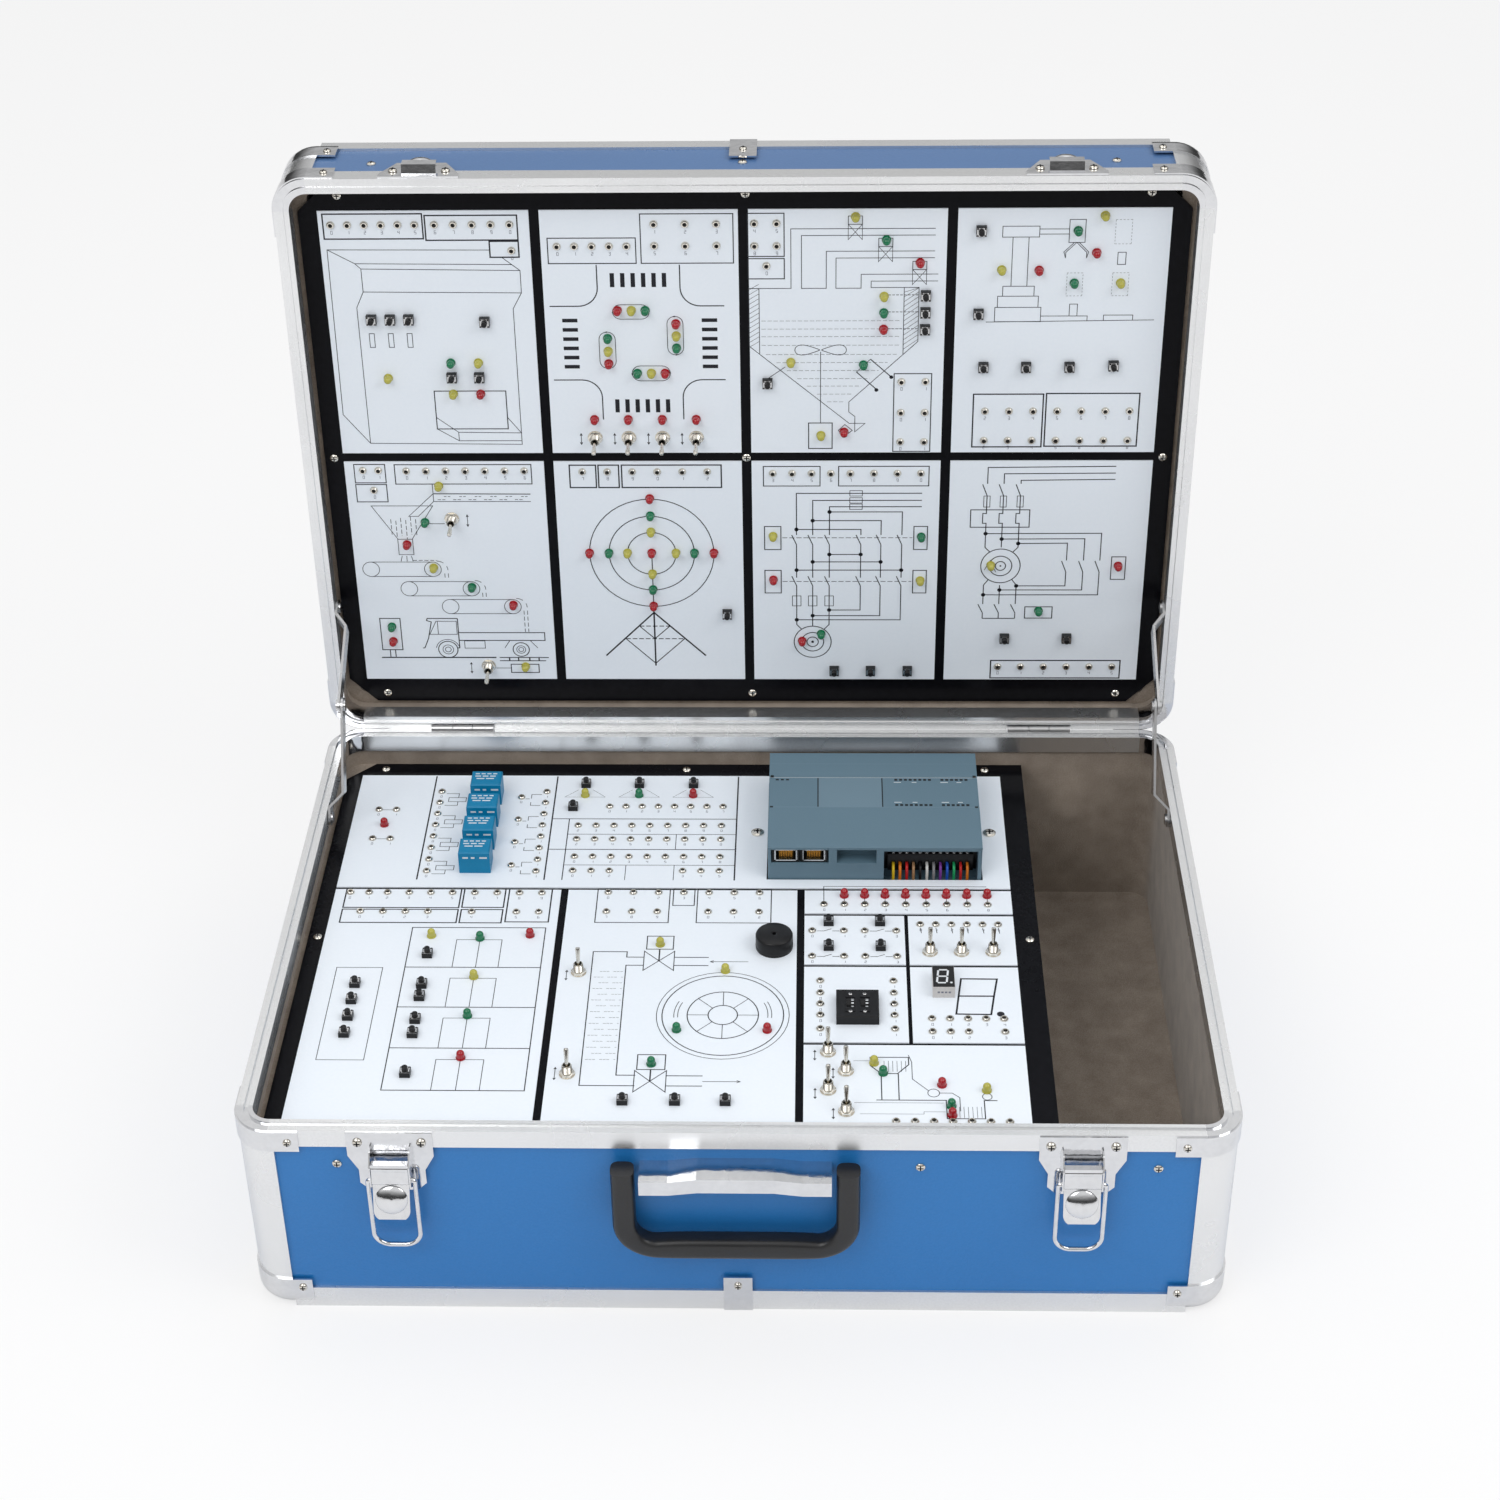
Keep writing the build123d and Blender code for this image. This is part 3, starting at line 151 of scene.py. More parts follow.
def lathe(profile, steps):
    # a profile of (radius, height) pairs swept round the height axis; a radius near 0 shuts it
    prof = np.asarray(profile, float)
    a = np.arange(steps) * 2 * math.pi / steps
    x = prof[:, :1] * np.cos(a)
    y = prof[:, :1] * np.sin(a)
    z = np.repeat(prof[:, 1:2], steps, 1)
    return np.stack([x, y, z], -1).reshape(-1, 3), gridFaces(len(prof), steps, wrapCols=True)


def stamped(shape, places):
    # one shape copied to each (x, y) or (x, y, height) place
    points, faces = shape
    places = np.asarray([tuple(p) + (0,) * (3 - len(p)) for p in places], float)
    return (points[None] + places[:, None]).reshape(-1, 3), repeated(faces, len(points), len(places))


def slab(lowX, highX, lowY, highY, lowZ, highZ, edge=0.0):
    # a block whose upper edges are cut back; rings of corners from the foot to the top
    def ring(inset, z):
        left, right, front, back = lowX + inset, highX - inset, lowY + inset, highY - inset
        return [(left, front, z), (right, front, z), (right, back, z), (left, back, z)]
    rings = [ring(0, lowZ), ring(0, highZ - edge), ring(edge, highZ)]
    points = np.array(sum(rings, []), float)
    faces = gridFaces(3, 4, wrapCols=True).tolist() + [[3, 2, 1, 0], [8, 9, 10, 11]]
    return points, faces


def tube(path, radius, sides=10):
    # a round section carried along a list of points, turned to face the way it runs
    path = np.asarray(path, float)
    along = np.gradient(path, axis=0)
    along /= np.linalg.norm(along, axis=1)[:, None]
    side = np.cross(along, [0.31, 0.17, 0.93])
    side /= np.linalg.norm(side, axis=1)[:, None]
    third = np.cross(along, side)
    a = np.arange(sides) * 2 * math.pi / sides
    ring = side[:, None] * np.cos(a)[None, :, None] + third[:, None] * np.sin(a)[None, :, None]
    points = path[:, None] + radius * ring
    return points.reshape(-1, 3), [f[::-1] for f in shut(len(path), sides)]


def islands(node):
    # middles and half sizes of a CAD node's separate solids; each point takes the lowest number it
    # shares a triangle with, until nothing changes
    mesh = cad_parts[node].data
    co = np.zeros(len(mesh.vertices) * 3)
    mesh.vertices.foreach_get("co", co)
    co = co.reshape(-1, 3)
    same = np.unique(np.round(co, 6), axis=0, return_inverse=True)[1].reshape(-1)
    mesh.calc_loop_triangles()
    tri = np.zeros(len(mesh.loop_triangles) * 3, int)
    mesh.loop_triangles.foreach_get("vertices", tri)
    tri = same[tri].reshape(-1, 3)
    label = np.arange(same.max() + 1)
    while True:
        low = label[tri].min(1)
        new = label.copy()
        for k in range(3):
            np.minimum.at(new, tri[:, k], low)
        if (new == label).all():
            break
        label = new
    found = []
    for value in np.unique(label[same]):
        own = co[label[same] == value] / mm
        found.append(((own.min(0) + own.max(0)) / 2, (own.max(0) - own.min(0)) / 2))
    return found


def boardPlaces(node, lid):
    # (x, y) on the board for each solid of a node
    return [(m[0], m[2] - lidFoot) if lid else (m[0], m[1]) for m, h in islands(node)]


# printed drawings, as thin ribbons just over the plates

def ribbon(points, width, closed=False):
    # a flat band of even width along a list of (x, y) points, mitred at the turns
    p = np.asarray(points, float)
    if closed:
        before, after = np.roll(p, 1, 0), np.roll(p, -1, 0)
    else:
        before, after = np.vstack([p[:1], p[:-1]]), np.vstack([p[1:], p[-1:]])
    d1, d2 = p - before, after - p
    d1[0] = d2[0] if not closed else d1[0]
    d2[-1] = d1[-1] if not closed else d2[-1]
    d1 /= np.maximum(np.linalg.norm(d1, axis=1), 1e-9)[:, None]
    d2 /= np.maximum(np.linalg.norm(d2, axis=1), 1e-9)[:, None]
    n1 = np.stack([-d1[:, 1], d1[:, 0]], 1)
    n2 = np.stack([-d2[:, 1], d2[:, 0]], 1)
    mid = n1 + n2
    mid /= np.maximum(np.linalg.norm(mid, axis=1), 1e-9)[:, None]
    stretch = 1 / np.clip((mid * n1).sum(1), 0.45, 1)
    off = mid * (stretch * width / 2)[:, None]
    flat = np.stack([p + off, p - off], 1).reshape(-1, 2)
    return np.column_stack([flat, np.zeros(len(flat))]), gridFaces(len(p), 2, wrapRows=closed)


def arcPoints(x, y, r, start, stop, steps=24):
    a = np.radians(np.linspace(start, stop, steps))
    return np.stack([x + r * np.cos(a), y + r * np.sin(a)], 1)


class Drawing:
    # collects strokes at one height over a board
    def __init__(self, height):
        self.parts = []
        self.height = height

    def add(self, part):
        points, faces = part
        points = np.array(points)
        points[:, 2] = self.height
        self.parts.append((points, faces))

    def line(self, width, *points, closed=False):
        self.add(ribbon(points, width, closed))

    def lines(self, width, *paths, closed=False):
        # each path is x, y, x, y and so on
        for path in paths:
            self.line(width, *zip(path[::2], path[1::2]), closed=closed)

    def box(self, width, x1, y1, x2, y2):
        self.line(width, (x1, y1), (x2, y1), (x2, y2), (x1, y2), closed=True)

    def boxes(self, width, *corners):
        for four in corners:
            self.box(width, *four)

    def fill(self, x1, y1, x2, y2):
        pts = np.array([(x1, y1, 0), (x2, y1, 0), (x2, y2, 0), (x1, y2, 0)], float)
        self.add((pts, [[0, 1, 2, 3]]))

    def ring(self, width, x, y, r, start=0, stop=360):
        whole = stop - start >= 360
        steps = 48 if whole else 24
        last = stop - 360 / steps if whole else stop
        self.line(width, *arcPoints(x, y, r, start, last, steps), closed=whole)

    def dot(self, x, y, r, steps=20):
        a = np.arange(steps) * 2 * math.pi / steps
        pts = np.stack([x + r * np.cos(a), y + r * np.sin(a), 0 * a], 1)
        self.add((pts, [list(range(steps))]))

    def dashes(self, width, x1, y1, x2, y2, dash, gap):
        d = np.array([x2 - x1, y2 - y1], float)
        long = np.linalg.norm(d)
        d /= long
        at = 0.0
        while at < long:
            a = np.array([x1, y1]) + d * at
            b = np.array([x1, y1]) + d * min(at + dash, long)
            self.line(width, a, b)
            at += dash + gap

    def digit(self, value, x, y, size=2.0, width=0.26):
        # a plain figure in straight strokes on a 2 by 3 grid of points
        strokes = ("abfea", "bdf", "abdcef", "abfe cd", "acd bdf", "bacdfe", "bacefdc", "abf",
                   "abfea cd", "dcabdfe")[value]
        spot = {"a": (0, 2), "b": (1, 2), "c": (0, 1), "d": (1, 1), "e": (0, 0), "f": (1, 0)}
        left = x - size / 4
        for run in strokes.split():
            pts = [(left + spot[c][0] * size / 2, y + (spot[c][1] - 1) * size / 2) for c in run]
            self.line(width, *pts)


# shader groups

def newGroup(name, inputs, outputs):
    group = bpy.data.node_groups.new(name, "ShaderNodeTree")
    for label, kind, value in inputs:
        socket = group.interface.new_socket(name=label, in_out="INPUT", socket_type=kind)
        socket.default_value = value
    for label, kind in outputs:
        group.interface.new_socket(name=label, in_out="OUTPUT", socket_type=kind)
    return group, group.nodes.new("NodeGroupInput"), group.nodes.new("NodeGroupOutput")


def mathNode(tree, operation, a, b):
    node = tree.nodes.new("ShaderNodeMath")
    node.operation = operation
    for slotIndex, value in ((0, a), (1, b)):
        if isinstance(value, (int, float)):
            node.inputs[slotIndex].default_value = value
        else:
            tree.links.new(value, node.inputs[slotIndex])
    return node.outputs[0]


def grainGroup():
    # fine and broad noise, stretched along any axis, from the place on the piece
    group, start, end = newGroup(
        "grain",
        [("Scale", "NodeSocketFloat", 400.0), ("Stretch", "NodeSocketVector", (1, 1, 1)),
         ("Broad Scale", "NodeSocketFloat", 12.0)],
        [("Fine", "NodeSocketFloat"), ("Broad", "NodeSocketFloat")],
    )
    where = group.nodes.new("ShaderNodeTexCoord")
    squeeze = group.nodes.new("ShaderNodeVectorMath")
    squeeze.operation = "MULTIPLY"
    fine = group.nodes.new("ShaderNodeTexNoise")
    fine.inputs["Detail"].default_value = 3
    broad = group.nodes.new("ShaderNodeTexNoise")
    broad.inputs["Detail"].default_value = 4
    link = group.links.new
    link(where.outputs["Object"], squeeze.inputs[0])
    link(start.outputs["Stretch"], squeeze.inputs[1])
    link(squeeze.outputs[0], fine.inputs["Vector"])
    link(start.outputs["Scale"], fine.inputs["Scale"])
    link(where.outputs["Object"], broad.inputs["Vector"])
    link(start.outputs["Broad Scale"], broad.inputs["Scale"])
    link(fine.outputs["Fac"], end.inputs["Fine"])
    link(broad.outputs["Fac"], end.inputs["Broad"])
    return group


def pebbleGroup():
    # low rounded cells, like the skin of a plastic laminate
    group, start, end = newGroup(
        "pebble", [("Scale", "NodeSocketFloat", 900.0)], [("Height", "NodeSocketFloat")]
    )
    where = group.nodes.new("ShaderNodeTexCoord")
    cells = group.nodes.new("ShaderNodeTexVoronoi")
    cells.feature = "SMOOTH_F1"
    cells.inputs["Smoothness"].default_value = 0.6
    group.links.new(where.outputs["Object"], cells.inputs["Vector"])
    group.links.new(start.outputs["Scale"], cells.inputs["Scale"])
    group.links.new(cells.outputs["Distance"], end.inputs["Height"])
    return group


grain = grainGroup()
pebble = pebbleGroup()

# depth of relief is in metres, scales are per metre
usual = {"scale": 500, "stretch": (1, 1, 1), "broadScale": 12, "fineShare": 0.5, "rough": 0.4,
         "roughSpread": 0.05, "metallic": 0, "specular": 0.5, "coat": 0, "sheen": 0, "bump": 0,
         "depth": 0.0002, "pebbleScale": 0, "wavy": False}


def spread(tree, value, low, high, start=0.3, end=0.7):
    # noise keeps near its middle, so its middle part is stretched over the whole span
    node = tree.nodes.new("ShaderNodeMapRange")
    for label, number in (("From Min", start), ("From Max", end), ("To Min", low), ("To Max", high)):
        node.inputs[label].default_value = number
    tree.links.new(value, node.inputs["Value"])
    return node


def finish(name, settings):
    # a surface with two colours mixed by its grain, uneven gloss and a little relief
    s = {**usual, "second": [c * 0.85 for c in settings["color"]], **settings}
    material = bpy.data.materials.new(name)
    material.use_nodes = True
    tree = material.node_tree
    link = tree.links.new
    shader = tree.nodes["Principled BSDF"]
    body = tree.nodes.new("ShaderNodeGroup")
    body.node_tree = grain
    for label, key in (("Scale", "scale"), ("Stretch", "stretch"), ("Broad Scale", "broadScale")):
        body.inputs[label].default_value = s[key]
    share = mathNode(tree, "MULTIPLY", body.outputs["Fine"], s["fineShare"])
    rest = mathNode(tree, "MULTIPLY", body.outputs["Broad"], 1 - s["fineShare"])
    mix = tree.nodes.new("ShaderNodeMix")
    mix.data_type = "RGBA"
    mix.inputs[6].default_value = (*s["color"], 1)
    mix.inputs[7].default_value = (*s["second"], 1)
    link(spread(tree, mathNode(tree, "ADD", share, rest), 0, 1).outputs[0], mix.inputs[0])
    link(mix.outputs[2], shader.inputs["Base Color"])
    rough = s["rough"] - s["roughSpread"], s["rough"] + s["roughSpread"]
    link(spread(tree, body.outputs["Broad"], *rough).outputs[0], shader.inputs["Roughness"])
    shader.inputs["Coat Roughness"].default_value = 0.08
    for label, key in (("Metallic", "metallic"), ("Specular IOR Level", "specular"),
                       ("Coat Weight", "coat"), ("Sheen Weight", "sheen")):
        shader.inputs[label].default_value = s[key]
    if s["bump"]:
        bump = tree.nodes.new("ShaderNodeBump")
        bump.inputs["Strength"].default_value = s["bump"]
        bump.inputs["Distance"].default_value = s["depth"]
        height = body.outputs["Broad" if s["wavy"] else "Fine"]
        if s["pebbleScale"]:
            cells = tree.nodes.new("ShaderNodeGroup")
            cells.node_tree = pebble
            cells.inputs["Scale"].default_value = s["pebbleScale"]
            height = cells.outputs["Height"]
        link(height, bump.inputs["Height"])
        link(bump.outputs["Normal"], shader.inputs["Normal"])
    return material


laminate = {"rough": 0.38, "scale": 900, "bump": 0.35, "pebbleScale": 700, "broadScale": 6}
finishes = {
    "blueLaminate": {"color": (0.014, 0.175, 0.50), "second": (0.020, 0.20, 0.55), **laminate},
    "lidLaminate": {"color": (0.075, 0.16, 0.34), "second": (0.09, 0.185, 0.38), **laminate},
    "satinAluminium": {"color": (0.86, 0.865, 0.87), "second": (0.78, 0.785, 0.79), "metallic": 0.92,
                       "rough": 0.27, "scale": 700, "fineShare": 0.6, "broadScale": 14},
    "chrome": {"color": (0.78, 0.785, 0.80), "second": (0.68, 0.685, 0.70), "metallic": 1,
               "rough": 0.10, "scale": 300, "broadScale": 55, "bump": 0.45, "depth": 0.0009,
               "wavy": True},
    "steel": {"color": (0.62, 0.62, 0.62), "second": (0.52, 0.52, 0.53), "metallic": 1,
              "rough": 0.27, "roughSpread": 0.06, "stretch": (1, 6, 1), "bump": 0.05},
    "nickel": {"color": (0.80, 0.77, 0.70), "second": (0.68, 0.64, 0.57), "metallic": 1,
               "rough": 0.18, "roughSpread": 0.06, "scale": 900},
    "felt": {"color": (0.42, 0.35, 0.285), "second": (0.20, 0.162, 0.13), "rough": 0.95,
             "roughSpread": 0.03, "scale": 1500, "fineShare": 0.55, "broadScale": 70, "bump": 0.9,
             "depth": 0.0005, "sheen": 0.25},
    "blackBoard": {"color": (0.003, 0.003, 0.004), "second": (0.006, 0.006, 0.008), "rough": 0.22,
                   "roughSpread": 0.06, "scale": 250, "specular": 0.07, "broadScale": 9},
    "whitePlate": {"color": (0.80, 0.86, 0.93), "second": (0.84, 0.89, 0.95), "rough": 0.36,
                   "broadScale": 8, "bump": 0.03, "depth": 0.0001},
    "ink": {"color": (0.008, 0.009, 0.013), "second": (0.022, 0.022, 0.030), "rough": 0.6, "scale": 900,
            "specular": 0.25},
    "paleInk": {"color": (0.13, 0.14, 0.18), "second": (0.20, 0.21, 0.26), "rough": 0.55, "scale": 900},
    "blackPlastic": {"color": (0.004, 0.004, 0.005), "second": (0.009, 0.009, 0.010), "rough": 0.32,
                     "scale": 1400, "specular": 0.3, "bump": 0.12, "depth": 0.0001},
    "gripPlastic": {"color": (0.009, 0.009, 0.010), "second": (0.017, 0.017, 0.018), "rough": 0.33,
                    "scale": 1100, "bump": 0.3, "broadScale": 25},
    "dark": {"color": (0.004, 0.004, 0.005), "second": (0.008, 0.008, 0.009), "rough": 0.7},
    "redLens": {"color": (0.42, 0.002, 0.010), "second": (0.30, 0.001, 0.007), "rough": 0.2, "coat": 0.35},
    "greenLens": {"color": (0.0, 0.19, 0.075), "second": (0.0, 0.13, 0.05), "rough": 0.2, "coat": 0.35},
    "yellowLens": {"color": (0.50, 0.47, 0.07), "second": (0.40, 0.37, 0.055), "rough": 0.2, "coat": 0.35},
    "controllerGrey": {"color": (0.102, 0.178, 0.232), "second": (0.118, 0.198, 0.252), "rough": 0.45,
                       "scale": 1600, "bump": 0.12, "depth": 0.0001, "broadScale": 10},
    "controllerPale": {"color": (0.135, 0.215, 0.27), "second": (0.145, 0.228, 0.285), "rough": 0.4,
                       "scale": 1600},
    "relayBlue": {"color": (0.0, 0.215, 0.42), "second": (0.0, 0.19, 0.375), "rough": 0.38, "scale": 700,
                  "specular": 0.3},
    "printWhite": {"color": (0.75, 0.78, 0.80), "second": (0.62, 0.66, 0.70), "rough": 0.5, "scale": 900},
    "displayGrey": {"color": (0.62, 0.60, 0.58), "second": (0.52, 0.50, 0.49), "rough": 0.4, "scale": 900},
    "brass": {"color": (0.75, 0.52, 0.22), "second": (0.62, 0.40, 0.15), "metallic": 1,
              "rough": 0.25, "scale": 800},
}
look = {name: finish(name, s) for name, s in finishes.items()}

wireColors = {
    "yellow": (0.80, 0.55, 0.02), "orange": (0.80, 0.22, 0.02), "red": (0.60, 0.02, 0.02),
    "tan": (0.42, 0.24, 0.12), "black": (0.010, 0.010, 0.012), "white": (0.80, 0.80, 0.78),
    "grey": (0.28, 0.28, 0.29), "purple": (0.22, 0.05, 0.35), "blue": (0.02, 0.10, 0.55),
    "green": (0.02, 0.40, 0.14),
}
for name, color in wireColors.items():
    look[name + "Wire"] = finish(name + "Wire", {"color": color, "rough": 0.38, "scale": 900})


def dress(node, material):
    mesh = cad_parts[node].data
    mesh.materials.clear()
    mesh.materials.append(look[material])


nodeLooks = {
    "blueLaminate": ["base_panels"],
    "lidLaminate": ["lid_panels"],
    "satinAluminium": ["base_rim_frame", "lid_rim_frame", "base_foot_frame", "lid_edge_frame",
                       "base_corner_posts", "lid_corner_posts"],
    "chrome": ["base_corner_fittings", "lid_corner_fittings", "latch_plates", "lid_catches",
               "latch_lever_left", "latch_lever_right", "latch_bail_left", "latch_bail_right",
               "handle_bracket"],
    "steel": ["hinge_base_leaves", "hinge_lid_leaves", "stay_lower_links", "stay_upper_links", "din_rail"],
    "felt": ["base_lining", "lid_lining"],
    "blackBoard": ["base_board", "lid_board"],
    "whitePlate": ["base_plates", "lid_plates"],
    "controllerGrey": ["controller_body", "controller_covers"],
    "blackPlastic": ["controller_ports", "thumbwheel_frame", "thumbwheel_left", "thumbwheel_right"],
    "displayGrey": ["digit_display"],
}
for material, nodes in nodeLooks.items():
    for node in nodes:
        dress(node, material)
print("frame dressed")


# sockets, lamps, buttons and toggles

socket = {"outer": 2.5, "bead": 1.3, "bore": 1.15, "rise": 1.5, "floor": 0.45, "steps": 14}
lamp = {"flange": 2.8, "flangeHigh": 0.8, "radius": 2.35, "height": 5.6, "steps": 16}
button = {"half": 3.0, "body": 3.6, "plate": 2.7, "cap": 1.7, "capTop": 6.0,
          "well": 1.86, "wellDeep": 0.7}
toggle = {"washer": 4.6, "nut": 3.9, "nutHigh": 2.0, "bush": 2.9, "bushHigh": 7.0, "bore": 2.2,
          "pivot": 4.5, "stem": 1.15, "tip": 1.5, "length": 12.5, "tilt": 12}

yellowLamps = {
    "base": [(-104.2, 143.5), (-185.7, 0.4), (-156.5, -37.6), (-49.1, -6.9), (-9.9, -31.1),
             (75.4, -111.2), (137.1, -133.5)],
    "lid": [(-160, 255.5), (-215.4, 245.3), (-176.8, 234.6), (-67, 289.7), (-81.8, 263), (-40.8, 273),
            (-56.4, 248.3), (65.3, 348.8), (82.5, 298.3), (27.4, 255.3), (45.5, 205.9), (209.4, 348.9),
            (151, 315), (220.8, 306.4), (-190.6, 171), (-198.2, 112.2), (-144.4, 38), (15.8, 135),
            (108, 102.7), (151.9, 113.8), (-75.5, 123), (-45.1, 123), (-60.3, 138.2), (-60.3, 107.8)],
}
greenLamps = {
    "base": [(-69.8, 143.5), (-156.5, -2), (-156.5, -72.5), (-36.2, -83.8), (-49.1, -113),
             (80.3, -119.5), (117.2, -146.3)],
    "lid": [(-176.8, 255.5), (-58.8, 289.7), (-81.8, 271.5), (-40.8, 265), (-64.8, 248.3), (83.4, 334.3),
            (82.5, 287.7), (70.8, 253.5), (194.3, 339.6), (193.7, 306.4), (-201.1, 145.2), (-175, 97.9),
            (-228.4, 68.3), (108, 134.5), (45.9, 63), (183.2, 80.3), (-87.1, 123), (-33.5, 123),
            (-60.3, 149.8), (-60.3, 96.2)],
}


def nearOne(place, spots, reach=3.5):
    return min(math.dist(place, s) for s in spots) < reach


def makeSockets(half, place, lid):
    s = socket
    places = boardPlaces(half + "_sockets", lid)
    ring = lathe([(s["outer"], 0), (s["outer"], 0.5), (s["outer"] - 0.35, 1.1),
                  (s["bead"] + 0.5, s["rise"]), (s["bead"], s["rise"]), (s["bore"], s["rise"] - 0.3),
                  (s["bore"], s["floor"])], s["steps"])
    piece(half + "Sockets", [stamped(ring, places)], "nickel", half, [half + "_sockets"],
          place=place)
    # a dark disc at the foot of each shallow bore is painted shade, standing in for the dark depth of the
    # socket's hole
    floor = lathe([(s["bore"], s["floor"] + 0.02), (0.02, s["floor"] + 0.02)], 8)
    piece(half + "SocketHoleShade", [stamped(floor, places)], "dark", half, place=place)
    return places


def makeLamps(half, place, lid):
    s = lamp
    dome = np.linspace(0, math.pi / 2, 6)
    top = s["height"] - s["radius"]
    profile = [(s["flange"], 0), (s["flange"], s["flangeHigh"]), (s["radius"], s["flangeHigh"]),
               (s["radius"], top)]
    profile += [(max(s["radius"] * math.cos(a), 0.03), top + s["radius"] * math.sin(a)) for a in dome[1:]]
    shape = lathe(profile, s["steps"])
    sets = {"yellowLens": [], "greenLens": [], "redLens": []}
    for p in boardPlaces(half + "_leds", lid):
        green = "greenLens" if nearOne(p, greenLamps[half]) else "redLens"
        sets["yellowLens" if nearOne(p, yellowLamps[half]) else green].append(p)
    for kind, places in sets.items():
        piece(half + kind[0].upper() + kind[1:] + "Lamps", [stamped(shape, places)], kind, half,
              [half + "_leds"] if kind == "redLens" else (), place=place)


def squareLathe(profile, square, steps=16):
    # a lathe with square rings from the first to before the second number given
    points, faces = lathe(profile, steps)
    rings = points.reshape(len(profile), steps, 3).copy()
    turn = np.arange(steps) * 2 * math.pi / steps
    reach = 1 / np.maximum(np.abs(np.cos(turn)), np.abs(np.sin(turn)))
    rings[slice(*square), :, :2] *= reach[None, :, None]
    return rings.reshape(-1, 3), faces


def makeButtons(half, place, lid):
    s = button
    caps = boardPlaces(half + "_button_caps", lid)
    top, well, floor = s["body"] - 0.25, s["well"], s["body"] - s["wellDeep"]
    body = squareLathe([(s["half"], 0), (s["half"], top - 0.2), (s["half"] - 0.2, top), (well, top),
                        (well, floor), (0.03, floor)], (0, 3))
    stud = lathe([(0.55, s["body"] - 0.4), (0.55, s["body"] + 0.05), (0.03, s["body"] + 0.1)], 6)
    corner = s["half"] - 0.85
    studs = [(x + a * corner, y + b * corner) for x, y in caps for a in (-1, 1) for b in (-1, 1)]
    piece(half + "ButtonBodies", [stamped(body, caps), stamped(stud, studs)], "blackPlastic", half,
          place=place)
    under, over = s["body"] - 0.24, s["body"] - 0.08
    plate = squareLathe([(well, under), (s["plate"], under), (s["plate"], over), (well, over), (well, under)],
                        (1, 3))
    piece(half + "ButtonPlates", [stamped(plate, caps)], "steel", half, place=place)
    cap = lathe([(0.03, s["body"] - 0.2), (s["cap"], s["body"] - 0.2), (s["cap"], s["capTop"] - 0.25),
                 (s["cap"] - 0.25, s["capTop"]), (0.03, s["capTop"])], 16)
    piece(half + "ButtonCaps", [stamped(cap, caps)], "blackPlastic", half + "_button_caps",
          [half + "_button_caps"], place=place)


def leverPlaces(node, lid):
    # the pivots of a node's levers, worked back from the leaning solids
    lean = math.radians(toggle["tilt"])
    shift = (toggle["length"] - 1.2) / 2 * math.sin(lean)
    return [(x, y + (shift if lid else -shift)) for x, y in boardPlaces(node, lid)]


def makeToggles(half, place, lid, levers):
    s = toggle
    spots = [p for node in levers for p in leverPlaces(node, lid)]
    corner = s["nut"] * 1.1547
    hexNut = lathe([(corner, 0.5), (corner, s["nutHigh"] - 0.2), (s["nut"] * 1.03, s["nutHigh"]),
                    (s["bush"], s["nutHigh"])], 6)
    washer = lathe([(s["washer"], 0), (s["washer"], 0.5), (s["bush"], 0.5)], 24)
    threads = [(s["bush"] - (0.28 if k % 2 else 0), s["nutHigh"] - 0.1 + k * 0.32) for k in range(16)]
    bush = lathe(threads + [(s["bush"] - 0.4, s["bushHigh"]), (s["bore"], s["bushHigh"]),
                            (s["bore"], s["nutHigh"])], 16)
    piece(half + "ToggleBushings", [stamped(hexNut, spots), stamped(washer, spots), stamped(bush, spots)],
          "nickel", half, [half + "_switch_bodies"], place=place)
    tilt = math.radians(-s["tilt"] if lid else s["tilt"])
    profile = [(0.03, -1.0), (s["stem"], -0.8), (s["stem"], 3), (s["stem"] * 0.92, 4.5),
               (s["tip"], s["length"] - 1.2), (s["tip"] * 0.86, s["length"] - 0.4), (0.03, s["length"])]
    points, faces = lathe(profile, 14)
    turned = points.copy()
    turned[:, 1] = points[:, 1] * math.cos(tilt) + points[:, 2] * math.sin(tilt)
    turned[:, 2] = points[:, 2] * math.cos(tilt) - points[:, 1] * math.sin(tilt) + s["pivot"]
    for node in levers:
        name = node.replace("_", " ").title().replace(" ", "")
        piece(name, [stamped((turned, faces), leverPlaces(node, lid))], "nickel", node, [node],
              place=place)


sides = {
    "base": (onBase, False, ["input_toggle_levers"] + [f"wash_toggle_lever_{k}" for k in (1, 2)]
             + [f"tower_toggle_lever_{k}" for k in (1, 2, 3, 4)]),
    "lid": (onLid, True, ["crossing_toggle_levers"] + [f"feed_toggle_lever_{k}" for k in (1, 2)]),
}
socketPlaces = {}
for half, (place, lid, levers) in sides.items():
    socketPlaces[half] = makeSockets(half, place, lid)
    makeLamps(half, place, lid)
    makeButtons(half, place, lid)
    makeToggles(half, place, lid, levers)
print("switches and lamps made")


# drawings on the lid's plates

thick, plain, fine = 0.85, 0.62, 0.42


# in the drawings a stroke's numbers are x, y, x, y on the board, and d is the Drawing they go to

def arrowPair(d, x, y1, y2):
    # a short double arrow beside a toggle
    d.line(fine, (x, y1), (x, y2))
    for tip, way in ((y1, 1), (y2, -1)):
        d.line(0.5, (x - 0.7, tip + way * 1.3), (x, tip), (x + 0.7, tip + way * 1.3))


def bowTie(d, width, x, y, half, tall):
    d.line(width, (x - half, y + tall), (x + half, y - tall), (x + half, y + tall),
           (x - half, y - tall), closed=True)


def breaker(d, width, x, y, long=7):
    # an open contact in a line that runs down the drawing
    d.line(width, (x - 3, y), (x, y - long))


